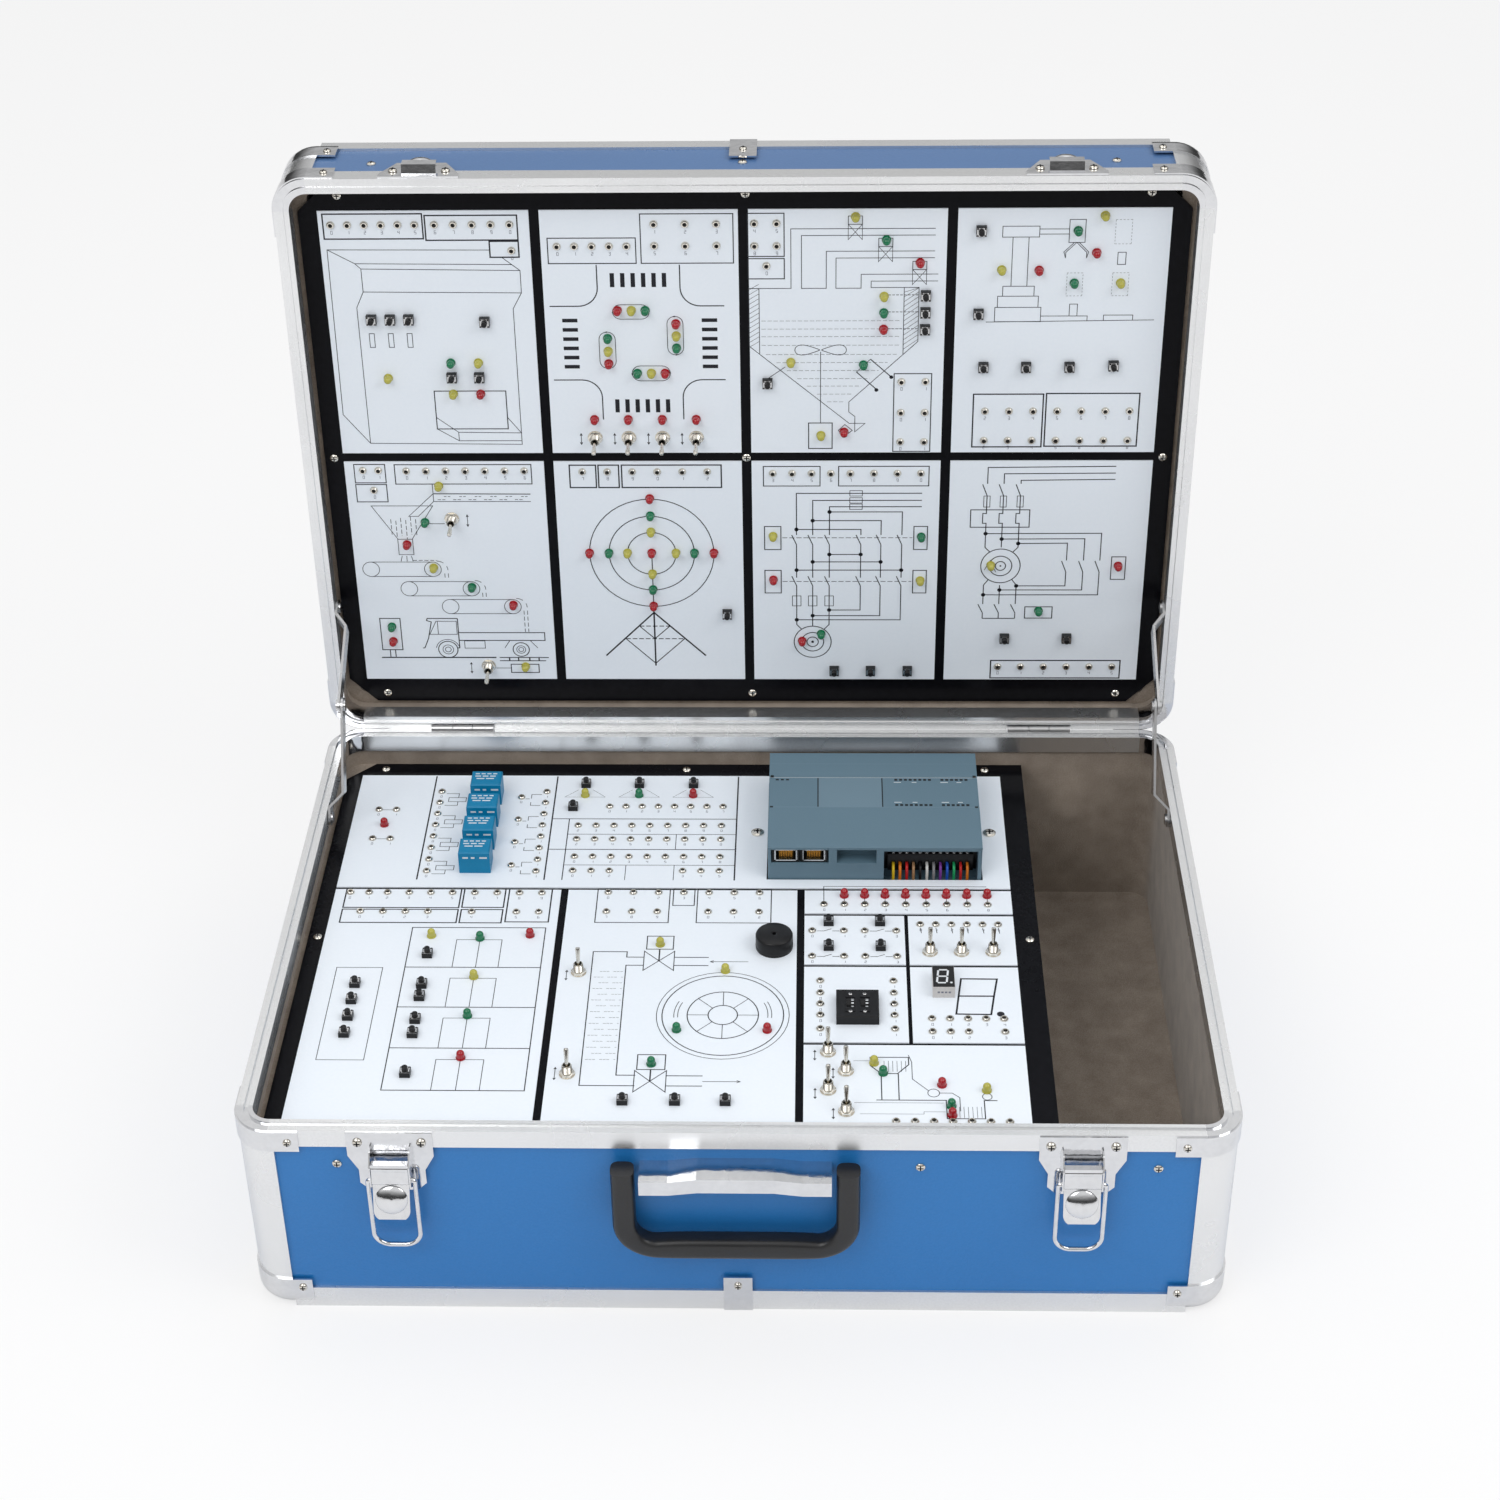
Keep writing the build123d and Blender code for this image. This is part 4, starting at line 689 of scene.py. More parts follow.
def vendingPlate(d):
    d.boxes(thick, (-245.2, 335.9, -187, 351.6), (-185.5, 334.9, -131.6, 350.5),
            (-148.6, 324, -131.6, 334.1))
    d.lines(fine, (-148.6, 328.6, -244.3, 329.1, -245.2, 220.4, -230.2, 200.7, -137.1, 199.8,
                   -137.1, 290.9, -131.6, 301.1, -131.6, 315.5, -142, 324),
            (-244.3, 329.1, -228.8, 320.2, -225.5, 316.8, -225.5, 302, -230.2, 291.8, -230.2, 200.7),
            (-228.8, 320.2, -135.9, 319.3), (-225.5, 316.8, -131.6, 315.5), (-225.5, 302, -131.6, 301.1))
    for x in (-222.9, -211.5, -200.2):
        d.box(fine, x - 1.5, 265.7, x + 1.5, 274.8)
    d.lines(plain, (-188.4, 210.5, -188.4, 236.3, -145, 236.3, -145, 210.5), closed=True)
    d.lines(fine, (-188.4, 218.4, -175.5, 208.2, -137.1, 207.7, -145, 218.4),
            (-188.4, 210.5, -175.5, 202.3, -137.1, 202.3), (-175.5, 208.2, -175.5, 202.3))


def crossingPlate(d):
    d.boxes(plain, (-114.6, 319.8, -63, 335.9), (-60, 319.8, -5.9, 350.9))
    for x, out, bend in ((-86.6, -115.4, -98.4), (-37.7, -11.8, -25.9)):
        for far, turn, way in ((318.9, 304.1, -1), (216.8, 231.8, 1)):
            start = 0 if bend < x else 180
            arc = arcPoints(bend, turn, 11.8, start, start + (90 if (bend < x) == (way > 0) else -90), 10)
            d.line(0.7, (x, far), *arc, (out, turn + way * 11.8))
    for k in range(6):
        x, y = -77.7 + k * 6.14, 252.5 + k * 6.1
        for low, high in ((304.6, 313.6), (221.6, 230.5)):
            d.fill(x - 1.3, low, x + 1.3, high)
        for left, right in ((-108.4, -99.3), (-25.4, -16.2)):
            d.fill(left, y - 1.2, right, y + 1.2)
    for x1, y1, x2, y2 in ((-78.2, 283.8, -56.4, 293.2), (-87, 251.2, -77.3, 275.4),
                           (-46.1, 260.2, -36.6, 285.5), (-68, 242.9, -45, 252.9)):
        r = min(x2 - x1, y2 - y1) / 2
        ends = (x2 - r, y2 - r), (x1 + r, y2 - r), (x1 + r, y1 + r), (x2 - r, y1 + r)
        arcs = [arcPoints(x, y, r, 90 * k, 90 * k + 90, 6) for k, (x, y) in enumerate(ends)]
        d.line(fine, *np.vstack(arcs), closed=True)
    for x in (-100.7, -80.2, -59.6, -39.1):
        arrowPair(d, x, 199.8, 207)


def mixingPlate(d):
    d.boxes(plain, (2.5, 323.9, 23.8, 351), (2.5, 309.6, 23.8, 322.5), (89.3, 194.5, 111.8, 247.3))
    d.lines(fine, (111.8, 341.2, 27.7, 341.2, 27.7, 303.4, 2.5, 303.4, 2.5, 265.9, 62.3, 214.1),
            (111.8, 337, 33.9, 337, 33.9, 303.4, 48.4, 303.4, 48.4, 327, 111.8, 327),
            (111.8, 322.7, 54.1, 322.7, 54.1, 303.4, 68.9, 303.4, 68.9, 312.3, 114, 312.3),
            (114, 307.9, 74.8, 307.9, 74.8, 303.8, 103, 303.8, 103, 268.6, 62.3, 228.4, 62.3, 221.6,
             66, 218.5),
            (8.8, 303.4, 8.8, 260.9), (94.3, 303.8, 94.3, 260.2))
    for k in range(13):
        y = 264 + k * 3.1
        d.lines(0.25, (2.5, y + 1, 8.8, y + 5), (94.3, y - 0.5, 103, min(y + 6, 303.6)))
    for x, y in ((65.2, 339.1), (83, 325.1), (103.1, 310.4)):
        bowTie(d, fine, x, y, 4.1, 4.8)
        d.box(fine, x - 4.1, y + 4.8, x + 4.1, y + 10)
    for y in (282.3, 277, 272, 266.3, 260.2, 254.8, 249.5, 244.1, 239.1, 233.7, 228.5):
        left = max(10, 6 + (265.9 - y) * 1.154)
        right = min(92, 99 - (268.6 - y))
        d.dashes(0.22, left, y, right, y, 2.6, 1.0)
    a = np.linspace(0, 2 * math.pi, 25)[:-1]
    for side in (-1, 1):
        loop = np.stack([45.2 + side * (8 + 7.4 * np.cos(a)),
                         263.2 + 4.8 * np.sin(a) * (0.6 + 0.4 * np.cos(a))], 1)
        d.line(fine, *loop, closed=True)
    d.line(fine, (45.2, 262), (45.2, 214.1))
    d.box(plain, 38, 196.6, 52.3, 214.1)
    d.lines(plain, (75, 257, 87.5, 245.2), (66.7, 248.5, 78.8, 236.8))
    d.line(fine, (75, 257), (66.7, 248.5))
    d.dot(87.6, 245, 1.2)
    d.dot(78.8, 236.4, 1.2)
    d.lines(fine, (60, 205, 56, 209, 60, 213, 64.5, 209), closed=True)
    d.lines(fine, (66, 218.5, 66, 208, 72.2, 213.8, 62.3, 213.8), (13.3, 244, 24, 252))
    for y in (299, 288, 277):
        d.dashes(fine, 85, y, 103.4, y, 1.6, 0.7)


def robotPlate(d):
    d.box(fine, 150.7, 335.5, 172.1, 342.3)
    d.lines(fine, (172.1, 340.5, 189.3, 340.5), (172.1, 337.3, 189.3, 337.3))
    d.box(fine, 189.3, 332, 198.6, 346.4)
    x = 193.9
    for side in (-1, 1):
        d.lines(fine, (x, 332, x + side * 6.1, 325.7, x + side * 6.1, 322.1),
                (x + side * 1.4, 332, x + side * 7.2, 326, x + side * 6.1, 322.1))
    d.lines(fine, (156.8, 335.5, 156.8, 304.3), (166.1, 335.5, 166.1, 304.3))
    d.boxes(fine, (152.1, 297.9, 170.5, 304.3), (149.3, 290.7, 173.2, 297.9), (147.9, 281.4, 175, 290.7))
    d.lines(fine, (142.9, 281.2, 242, 282.3), (175, 285, 202.5, 285, 202.5, 281.6),
            (212.1, 281.8, 212.1, 285.5, 229.3, 285.5, 229.3, 282))
    d.boxes(fine, (191.8, 285, 196.4, 292.7), (218.2, 318, 222.9, 325.7))
    for x1, y1, x2, y2 in ((189.3, 298, 198.6, 312.7), (215.9, 331, 225.4, 346.2),
                           (215.9, 298, 225.4, 312.7)):
        ends = (x1, y1), (x2, y1), (x2, y2), (x1, y2)
        for a, b in zip(ends, ends[1:] + ends[:1]):
            d.dashes(0.2, *a, *b, 1.2, 0.9)
    d.boxes(thick, (137.3, 197.5, 179.3, 233.4), (181.1, 197.9, 237, 233.8))


def feedingPlate(d):
    d.boxes(plain, (-242.1, 173, -223, 185.9), (-242.1, 159.5, -223, 171.8), (-217.1, 172.1, -132.7, 185.7))
    d.line(plain, (-194.6, 165.2), (-134.1, 164.9))
    d.lines(fine, (-194.6, 159.7, -134.1, 159.7),
            (-194.6, 171.8, -194.6, 159.7, -205, 149.1, -211, 149.1, -194.6, 165.2))
    for k in range(6):
        d.dashes(fine, -192 + k * 9.6, 161, -187 + k * 9.6, 161, 2, 0.8)
        d.dashes(fine, -188 + k * 9.6, 163.2, -184 + k * 9.6, 163.2, 1.6, 0.8)
    d.lines(fine, (-210, 121.4, -210, 133, -195.5, 156.6, -233.9, 156.6, -219.3, 133, -219.3, 121.4),
            closed=True)
    d.line(fine, (-219.3, 132.6), (-210, 132.6))
    for k, high in enumerate((147, 146, 148, 146.5, 149, 147)):
        d.dashes(fine, -222.5 + k * 3.1, high, -222.5 + k * 3.1, high - 14 + abs(k - 3), 3, 1.2)
    for k in range(3):
        d.line(fine, (-217.5 + k * 2.9, 120.5), (-218.5 + k * 3.8, 116.5))
    for x1, x2, y in ((-238, -198.9, 110.7), (-215, -175.5, 96.3), (-189.7, -150, 83)):
        for x in (x1, x2):
            d.ring(fine, x, y, 5.3)
        d.lines(fine, (x1, y + 5.3, x2, y + 5.3), (x1, y - 5.3, x2, y - 5.3))
    d.dashes(fine, -211, 117.2, -196, 117.2, 2.6, 1)
    for x, y, down in ((-196, 110.6, 104), (-173, 96.3, 89.5), (-147.5, 83, 64)):
        arc = arcPoints(x, y - 0.5, 6.6, 90, 0, 8)
        d.line(fine, *arc[:4])
        d.line(fine, *arc[5:])
        for gap in (0, 2.2):
            d.dashes(fine, x + 4.4 + gap, y - 3, x + 4.4 + gap, down, 3, 1.5)
    d.box(plain, -235.9, 50.4, -222.9, 74.1)
    d.lines(plain, (-231.1, 50.4, -231.1, 45), (-227.7, 50.4, -227.7, 45))
    d.line(thick, (-237, 44.5), (-163, 44.5))
    d.lines(plain, (-160.9, 44.5, -129.1, 44.5), (-160.9, 42, -131, 42))
    for x in (-154.5, -148.7, -141.5, -135.5):
        d.line(thick, (x, 44.5), (x, 42))
    d.box(plain, -153.8, 33, -135.9, 39.3)
    d.lines(fine, (-163.5, 36.4, -153.8, 36.4), (-199, 143.8, -189, 143.8))
    d.lines(plain, (-186.1, 74.1, -205.4, 74.1, -206, 72.5, -203, 71.5, -205.7, 59, -208.6, 51.8,
                    -209.8, 51.8),
            (-186.1, 74.1, -186.1, 51.8, -187.2, 51.8))
    d.lines(fine, (-187, 72, -200, 72, -204.6, 62.1, -187, 62.1), closed=True)
    d.line(fine, (-199.1, 72), (-199.1, 62.1))
    d.box(plain, -186.1, 57.5, -130.9, 63.4)
    d.box(fine, -182.7, 51.6, -169.6, 57.1)
    for x, r in ((-193.6, 6.2), (-146.6, 5.2)):
        d.ring(plain, x, 50.6, r)
        d.ring(fine, x, 50.6, r * 0.55)
        d.ring(fine, x, 50.6, r * 0.3)
    d.ring(fine, -193.6, 50.6, 7.6, 10, 170)
    d.lines(fine, (-153.5, 57.5, -157, 51.8), (-140.5, 57.5, -135.8, 51.8))
    arrowPair(d, -174.5, 142, 150)
    arrowPair(d, -179.5, 32.7, 40.5)


def towerPlate(d):
    x, y = -60.3, 122.2
    d.boxes(thick, (-109.1, 169.5, -92.9, 185.2), (-91.4, 169.5, -78.8, 185.2), (-77, 169.5, -15.7, 185.2))
    for r in (39, 26.8, 15.2):
        d.ring(plain, x, y, r)
    d.line(plain, (x, y), (x, 80))
    d.lines(1.0, (x, 80, x, 38.4), (-92, 46, x, 78.6, -27.9, 46))
    for x1, x2, y in ((-69.8, -50.5, 68.4), (-78.8, -41.3, 58.9)):
        d.dashes(plain, x1, y, x2, y, 3, 1.2)
    d.lines(plain, (-69.8, 68.4, x, 58.9, -50.5, 68.4), (-78.8, 58.9, x, 40.2, -41.3, 58.9))


def motorPlate(d):
    d.boxes(plain, (10.2, 170.4, 45, 184.1), (56.4, 170.4, 111.8, 184.1))
    lines = ((30.4, 165.2, 70.5, 139.5), (40.5, 160.2, 83, 145.8), (50.9, 155.7, 96, 152))
    cross = ((30.4, 96, 110), (40.5, 83, 116), (50.9, 70.5, 121.4))
    for x, top, far, over in lines:
        d.line(plain, (107.9, top), (x, top), (x, 135.5))
        d.box(fine, 63.4, top - 1.9, 71.1, top + 1.9)
        d.line(plain, (x, over), (far, over), (far, 135.5))
        d.dot(x, over, 1.35)
        for column in (x, far):
            breaker(d, plain, column, 135.5)
            breaker(d, plain, column, 105.5)
            d.line(plain, (column, 128.5), (column, 104.5))
        d.line(plain, (x, 98.5), (x, 73))
        d.box(fine, x - 2.7, 83.6, x + 2.7, 91)
    for x1, x2, y in cross:
        d.line(plain, (x1, y), (x2, y))
        for x in (x1, x2):
            d.dot(x, y, 1.35)
    for x1, x2, y in ((50.9, 70.5, 80.5), (40.5, 83, 76.3), (30.4, 96, 73.2)):
        d.line(plain, (x2, 98.5), (x2, y), (x1, y))
        d.dot(x1, y, 1.35)
    for y in (133.5, 101.7):
        d.dashes(fine, 21.5, y, 102.5, y, 3.2, 1.2)
    for x1, x2 in ((10.5, 20.7), (103.4, 111.8)):
        d.boxes(plain, (x1, 125, x2, 141.6), (x1, 93.2, x2, 109.8))
    for r in (11.8, 7, 3.6):
        d.ring(plain, 40.5, 56.6, r)
    d.dot(40.5, 56.6, 0.9)
    d.lines(plain, (30.4, 73, 30.4, 69.6, 33.4, 66.2), (40.5, 73, 40.5, 68.4),
            (50.9, 73, 50.9, 69.6, 47.9, 66.2))


def starPlate(d):
    d.lines(plain, (225.9, 183.9, 147.9, 183.2, 147.9, 171.8), (225.9, 179.2, 158, 178.8, 158, 171.8),
            (225.9, 174.8, 168.4, 174.2, 168.4, 171.8))
    d.box(plain, 138.2, 141, 174.6, 153.4)
    for x, y, far, low in ((147.9, 136.4, 219.8, 91.8), (158, 132.5, 209.6, 95.4),
                           (168.4, 129.3, 199, 98.4)):
        breaker(d, plain, x, 171.4, 8)
        d.box(fine, x - 1.9, 155.4, x + 1.9, 163.2)
        d.lines(plain, (x, 163.4, x, 150.8, x - 2.2, 150.8, x - 2.2, 143.8, x, 143.8, x, 126.5),
                (x, y, far, y + 0.2, far, 117))
        breaker(d, plain, far, 116.6, 8)
        d.line(plain, (far, 108.6), (far, low), (x, low))
        for level in (y, low):
            d.dot(x, level, 1.35)
        d.line(plain, (x, 99), (x, 85))
        breaker(d, plain, x, 84.8, 6.4)
        d.line(plain, (x, 78.4), (x, 74.3))
    d.line(plain, (147.9, 74.3), (168.4, 74.3))
    for r in (12.3, 7.1, 3.2):
        d.ring(plain, 158, 113, r)
    d.dot(158, 113, 0.6)
    d.lines(plain, (147.9, 126.5, 150.9, 123.2), (168.4, 126.5, 165.4, 123.2), (147.9, 99, 150.9, 103.2),
            (168.4, 99, 165.4, 103.2))
    d.line(fine, (155.2, 108.5), (151.5, 117), (148, 110))
    d.boxes(plain, (227.1, 103.2, 235.9, 119.6), (174.6, 74.5, 191.8, 82.9))
    d.box(thick, 154.5, 29.1, 237.1, 42.5)


# drawings on the base's plates

def liftPlate(d):
    for x1, x2, y in ((-242.7, -172.6, 27.8), (-170.7, -145.6, 28.2)):
        d.boxes(thick, (x1, y, x2, 46.6), (x1, 13.3, x2, 26.1))
    d.box(thick, -143.3, 14.3, -117.3, 46.6)
    d.box(plain, -198, -135.5, -118.3, 8.7)
    for floor, door in ((-28.5, -2.8), (-64.5, -38.5), (-100.1, -74.1), (-135.5, -109.8)):
        d.line(plain, (-198, floor), (-118.3, floor))
        d.lines(fine, (-170.3, floor, -170.3, door, -143.3, door, -143.3, floor),
                (-156.5, floor, -156.5, door))
    d.box(fine, -238, -110.5, -211, -29)


def washPlate(d):
    d.boxes(plain, (-89.4, 14.1, -45.5, 46.9), (-43.4, 30.8, -30.5, 47), (-28.7, 14.1, 15.9, 46.9))
    d.lines(plain, (-58, -18.5, -68.3, -18.5, -68.3, -13.5, -88.3, -13.5, -88.3, -130.8, -57.5, -130.8),
            (-58, -26, -68.3, -26, -68.3, -122.1, -57.5, -122.1))
    for y, boxTop, boxLow in ((-21.8, 1.2, -11), (-127, -104.8, -117.3)):
        bowTie(d, plain, -49.2, y, 8.9, 8.9)
        d.box(plain, -57, boxLow, -41.3, boxTop)
        d.line(0.8, (-49.2, boxLow), (-49.2, y))
    for y in (-18.5, -26, -122.4, -130.8):
        d.line(plain, (-40.2, y), (-20, y))
    for k in range(16):
        y = -31.8 - k * 5.15
        for m in range(2 + k % 2):
            x = -86.5 + m * 8 + (0 if k % 2 else 3.2)
            d.dashes(0.25, x, y, min(x + 5.6, -69.5), y, 1.6, 0.4)
    x, y = -10.3, -70.3
    d.ring(fine, x, y, 38)
    for r in (34.8, 20.4, 8.4):
        d.ring(plain, x, y, r)
    for k in range(8):
        c, t = math.cos(k * math.pi / 4), math.sin(k * math.pi / 4)
        d.line(fine, (x + 8.4 * c, y + 8.4 * t), (x + 20.4 * c, y + 20.4 * t))
    for start, stop in ((155, 185), (25, -5)):
        for r in (25.8, 28):
            d.line(fine, *arcPoints(x, y, r, start, stop, 12))
    for y, x1, x2 in ((-22.4, 3.3, -19), (-127, -20, 1)):
        d.line(fine, (x1, y), (x2, y))
        way = 1 if x2 > x1 else -1
        d.line(fine, (x2 - 2 * way, y + 1), (x2, y), (x2 - 2 * way, y - 1))
    arrowPair(d, -102.6, -39.5, -31)
    arrowPair(d, -102.6, -126, -116)


def upperPlate(d):
    for x in (-201.4, -123.3, -7):
        d.line(0.9, (x, 55.6), (x, 164.6))
    for y in (141.3, 117.5, 93.7, 69.9):
        d.box(fine, -191, y - 4.6, -179.9, y - 0.2)
        d.lines(fine, (-193, y + 4.1, -184.9, y + 4.1, -184.9, y - 0.2),
                (-184.9, y - 4.6, -184.9, y - 8.6, -193, y - 8.6),
                (-132, y + 3.4, -138.4, y + 3.4, -138.4, y - 1),
                (-138.4, y - 5, -138.4, y - 8.4, -132, y - 8.4), (-142, y - 1.4, -139.4, y - 1.4))
    for width, x, y in ((plain, -123.3, 118.6), (fine, -112.4, 102.4), (plain, -123.3, 86.7),
                        (fine, -112.4, 70.7)):
        d.line(width, (x, y), (-7, y))
    d.line(plain, (-112.4, 118.6), (-112.4, 55.6))
    d.lines(fine, (-74, 70.7, -74, 55.6), (-44.3, 102.4, -44.3, 86.7), (-44.3, 70.7, -44.3, 55.6))
    for x in (-104.2, -69.8, -35.4):
        d.lines(0.22, (x - 13, 142, x - 4.5, 150), (x + 13, 142, x + 4.5, 150), (x - 13, 142, x + 13, 142))
    d.lines(fine, (-232, 127.7, -225, 127.7), (-232, 97, -225, 97))


def inputPlates(d):
    for k in range(8):
        d.line(fine, (59.9 + 12.3 * k, 38), (59.9 + 12.3 * k, 34))
    d.line(fine, (47.6, 34), (47.6, 50), (146, 50))
    for x in (40.6, 71.8):
        for y in (6.8, -17.1):
            d.lines(fine, (x + 3, y, x + 7, y, x + 11.5, y + 2), (x + 12, y, x + 16, y))
    for k in range(6):
        d.line(fine, (104.9 + 9.25 * k, 10), (105.4 + 9.25 * k, 5))
    d.lines(1.1, (127, -37.1, 147.8, -37.3, 145.3, -52.6, 125, -52.6), closed=True)
    d.line(1.1, (145.3, -52.6), (142.9, -68.8), (123, -68.5), (125, -52.6))
    d.dot(148.3, -68.4, 2.2)
    d.lines(plain, (73.3, -106, 94.7, -106, 94.7, -112.1, 88.3, -119.6, 79.2, -119.6, 73.3, -113),
            closed=True)
    d.lines(plain, (79.2, -119.6, 79.2, -141.3), (88.7, -119.6, 88.7, -141.3),
            (76.2, -141.3, 114.5, -141.3, 114.5, -156, 135.3, -156, 135.3, -141.3, 142.5, -141.3))
    for k in range(6):
        d.lines(0.25, (81 + 2.4 * k, -109, 81 + 2.4 * k, -118),
                (121.5 + 2.4 * k, -146.5, 121.5 + 2.4 * k, -155.4))
    d.ring(fine, 107.8, -135.4, 3.2)
    d.lines(fine, (94.7, -104, 96.4, -110, 96.4, -124, 105, -133.5),
            (111, -135.4, 118, -135.4, 122, -139, 122, -150))
    d.ring(fine, 137.1, -138.2, 2.6)
    d.lines(0.22, (64, -109, 73, -109), (64, -143.5, 113, -143.5),
            (67, -152.5, 102, -152.5, 102, -150.6, 114, -150.6))
    for x, y in ((42.3, -108.5), (52.5, -123.5), (42.5, -140.3), (52.5, -156.5)):
        arrowPair(d, x, y, y + 8)


def socketNumbers(d, places):
    # each row of sockets counts up from nought, in small plain figures under the sockets
    rows = {}
    for x, y in places:
        rows.setdefault(round(y / 3), []).append((x, y))
    for row in rows.values():
        for k, (x, y) in enumerate(sorted(row)):
            d.digit(k % 10, x + 0.2, y - 4.9)


inkHeight = 0.05
lidDrawing, baseDrawing = Drawing(inkHeight), Drawing(inkHeight)
for plate in (vendingPlate, crossingPlate, mixingPlate, robotPlate, feedingPlate, towerPlate,
              motorPlate, starPlate):
    plate(lidDrawing)
for plate in (liftPlate, washPlate, upperPlate, inputPlates):
    plate(baseDrawing)
for half, drawing, place in (("lid", lidDrawing, onLid), ("base", baseDrawing, onBase)):
    piece(half + "Drawing", drawing.parts, "ink", half, place=place, smooth=False)
    numbers = Drawing(inkHeight)
    socketNumbers(numbers, socketPlaces[half])
    piece(half + "SocketNumbers", numbers.parts, "paleInk", half, place=place, smooth=False)
print("drawings made")


# pieces that stand on the base's board

def facing(shape, spots):
    # one shape, made round +z, copied to (point, way out) pairs
    points, faces = shape
    moved = []
    for spot, out in spots:
        turn = np.array(Vector((0, 0, 1)).rotation_difference(Vector(out)).to_matrix())
        moved.append(points @ turn.T + np.asarray(spot, float))
    return np.concatenate(moved), repeated(faces, len(points), len(spots))


def crossBars(long, wide, low, top):
    return [slab(-long, long, -wide, wide, low, top), slab(-wide, wide, -long, long, low, top)]


def screwHeads(name, spots, radius, body, material="nickel"):
    # low domes; the driver's cross is painted shade: two dark bars let into the top where the recess lies in
    # shade
    head = lathe([(radius, 0), (radius, radius * 0.22), (radius * 0.86, radius * 0.44),
                  (radius * 0.55, radius * 0.6), (0.03, radius * 0.66)], 18)
    piece(name, [facing(head, spots)], material, body)
    # the dark cross bars are painted shade for the driver's recess
    top = radius * 0.68
    bars = crossBars(radius * 0.62, radius * 0.15, top - 0.5, top)
    piece(name + "Slots", [facing(bar, spots) for bar in bars], "dark", body, smooth=False)


relay = {
    "edge": 0.7, "pitch": 2.6, "high": 1.0, "gap": 1.1, "top": 5,
    # rows of marks on top, as first x, how many and how long; then the lengths of those in front
    "rows": ((-7.2, 4, 2.6), (-7.2, 3, 3.6), (-6.2, 2, 5.0)), "front": (3.4, 2.2, 4.6),
    "frontFirst": -7, "frontPitch": 5.2, "frontLow": 4.4, "frontHigh": 3.2,
}


def makeRelays():
    s = relay
    solids = islands("relays")
    middles = [(m[0], m[1]) for m, h in solids]
    w, d = solids[0][1][:2]
    h = nodeBox("relays")[1].z - baseTop
    piece("relayCans", [stamped(slab(-w, w, -d, d, 0, h, s["edge"]), middles)], "relayBlue", "base",
          ["relays"], place=onBase, smooth=False)
    marks = []
    for x, y in middles:
        for row, (first, count, long) in enumerate(s["rows"]):
            for k in range(count):
                left = x + first + k * (long + s["gap"])
                up = y + s["top"] - row * s["pitch"]
                marks.append(slab(left, left + long, up - s["high"], up, h - 0.02, h + 0.05))
        for k, long in enumerate(s["front"]):
            left = x + s["frontFirst"] + k * s["frontPitch"]
            marks.append(slab(left, left + long, y - d - 0.04, y - d + 0.02,
                              h - s["frontLow"], h - s["frontHigh"]))
    piece("relayMarks", marks, "printWhite", "base", place=onBase, smooth=False)


buzzer = {"hole": 1.3, "holeDeep": 4, "seam": (1.6, 2.4), "seamOut": 0.12, "steps": 56}


def makeBuzzer():
    s = buzzer
    low, high = nodeBox("buzzer")
    mid, r, h = (low + high) / 2, (high.x - low.x) / 2, high.z - baseTop
    hole, seamLow, seamHigh = s["hole"], *s["seam"]
    shell = lathe([(r, 0), (r, h - 1.3), (r - 0.35, h - 0.5), (r - 1.1, h), (hole + 1.2, h),
                   (hole + 1.0, h + 0.02), (hole, h - 0.2), (hole, h - s["holeDeep"]),
                   (0.03, h - s["holeDeep"])], s["steps"])
    piece("buzzerShell", [stamped(shell, [(mid.x, mid.y)])], "blackPlastic", "base", ["buzzer"],
          place=onBase)
    out = r + s["seamOut"]
    ring = lathe([(r + 0.01, seamLow), (out, seamLow + 0.2), (out, seamHigh - 0.2), (r + 0.01, seamHigh)],
                 s["steps"])
    piece("buzzerSeam", [stamped(ring, [(mid.x, mid.y)])], "dark", "base", place=onBase)


display = {"lean": 0.10, "wide": 5.6, "tall": 11.6, "stroke": 1.15, "gap": 0.45, "left": 0.6,
           "edge": 0.15, "point": 0.75, "marks": 4, "markPitch": 2.1, "mark": (1.3, 3.4, 4.6)}


def makeDisplay():
    s = display
    low, high = nodeBox("digit_display")
    mid, top, edge = (low + high) / 2, high.z - baseTop, s["edge"]
    face = slab(low.x + edge, high.x - edge, low.y + edge, high.y - edge, top - 0.05, top + 0.08)
    piece("displayFace", [face], "dark", "base", place=onBase, smooth=False)
    segments = Drawing(top + 0.12)
    half, rise, gap = s["wide"] / 2, s["tall"] / 2, s["gap"]
    for level in (-1, 0, 1):
        y = mid.y + level * rise
        middle = mid.x + s["lean"] * level * rise - s["left"]
        segments.line(s["stroke"], (middle - half + gap, y), (middle + half - gap, y))
    for side in (-1, 1):
        for level in (-1, 1):
            ends = [(mid.x + side * half + s["lean"] * level * rise * t - s["left"],
                     mid.y + level * rise * t) for t in (0.09, 0.91)]
            segments.line(s["stroke"], *ends)
    segments.dot(mid.x + half + 1.5, mid.y - rise + 0.2, s["point"])
    piece("displaySegments", segments.parts, "printWhite", "base", place=onBase, smooth=False)
    wide, markLow, markHigh = s["mark"]
    lefts = [mid.x - 3.6 + k * s["markPitch"] for k in range(s["marks"])]
    marks = [slab(x, x + wide, low.y - 0.05, low.y + 0.02, markLow, markHigh) for x in lefts]
    piece("displayMarks", marks, "paleInk", "base", place=onBase, smooth=False)


wheel = {"ribs": 20, "ribHalf": 0.16, "ribLong": 0.9, "markHalf": 0.35, "markLong": 0.75, "apart": 1.2}
dial = {"screwX": 4.1, "screwY": 7.6, "screw": 1.25, "guideY": 6.2, "guideHalf": 2.8}


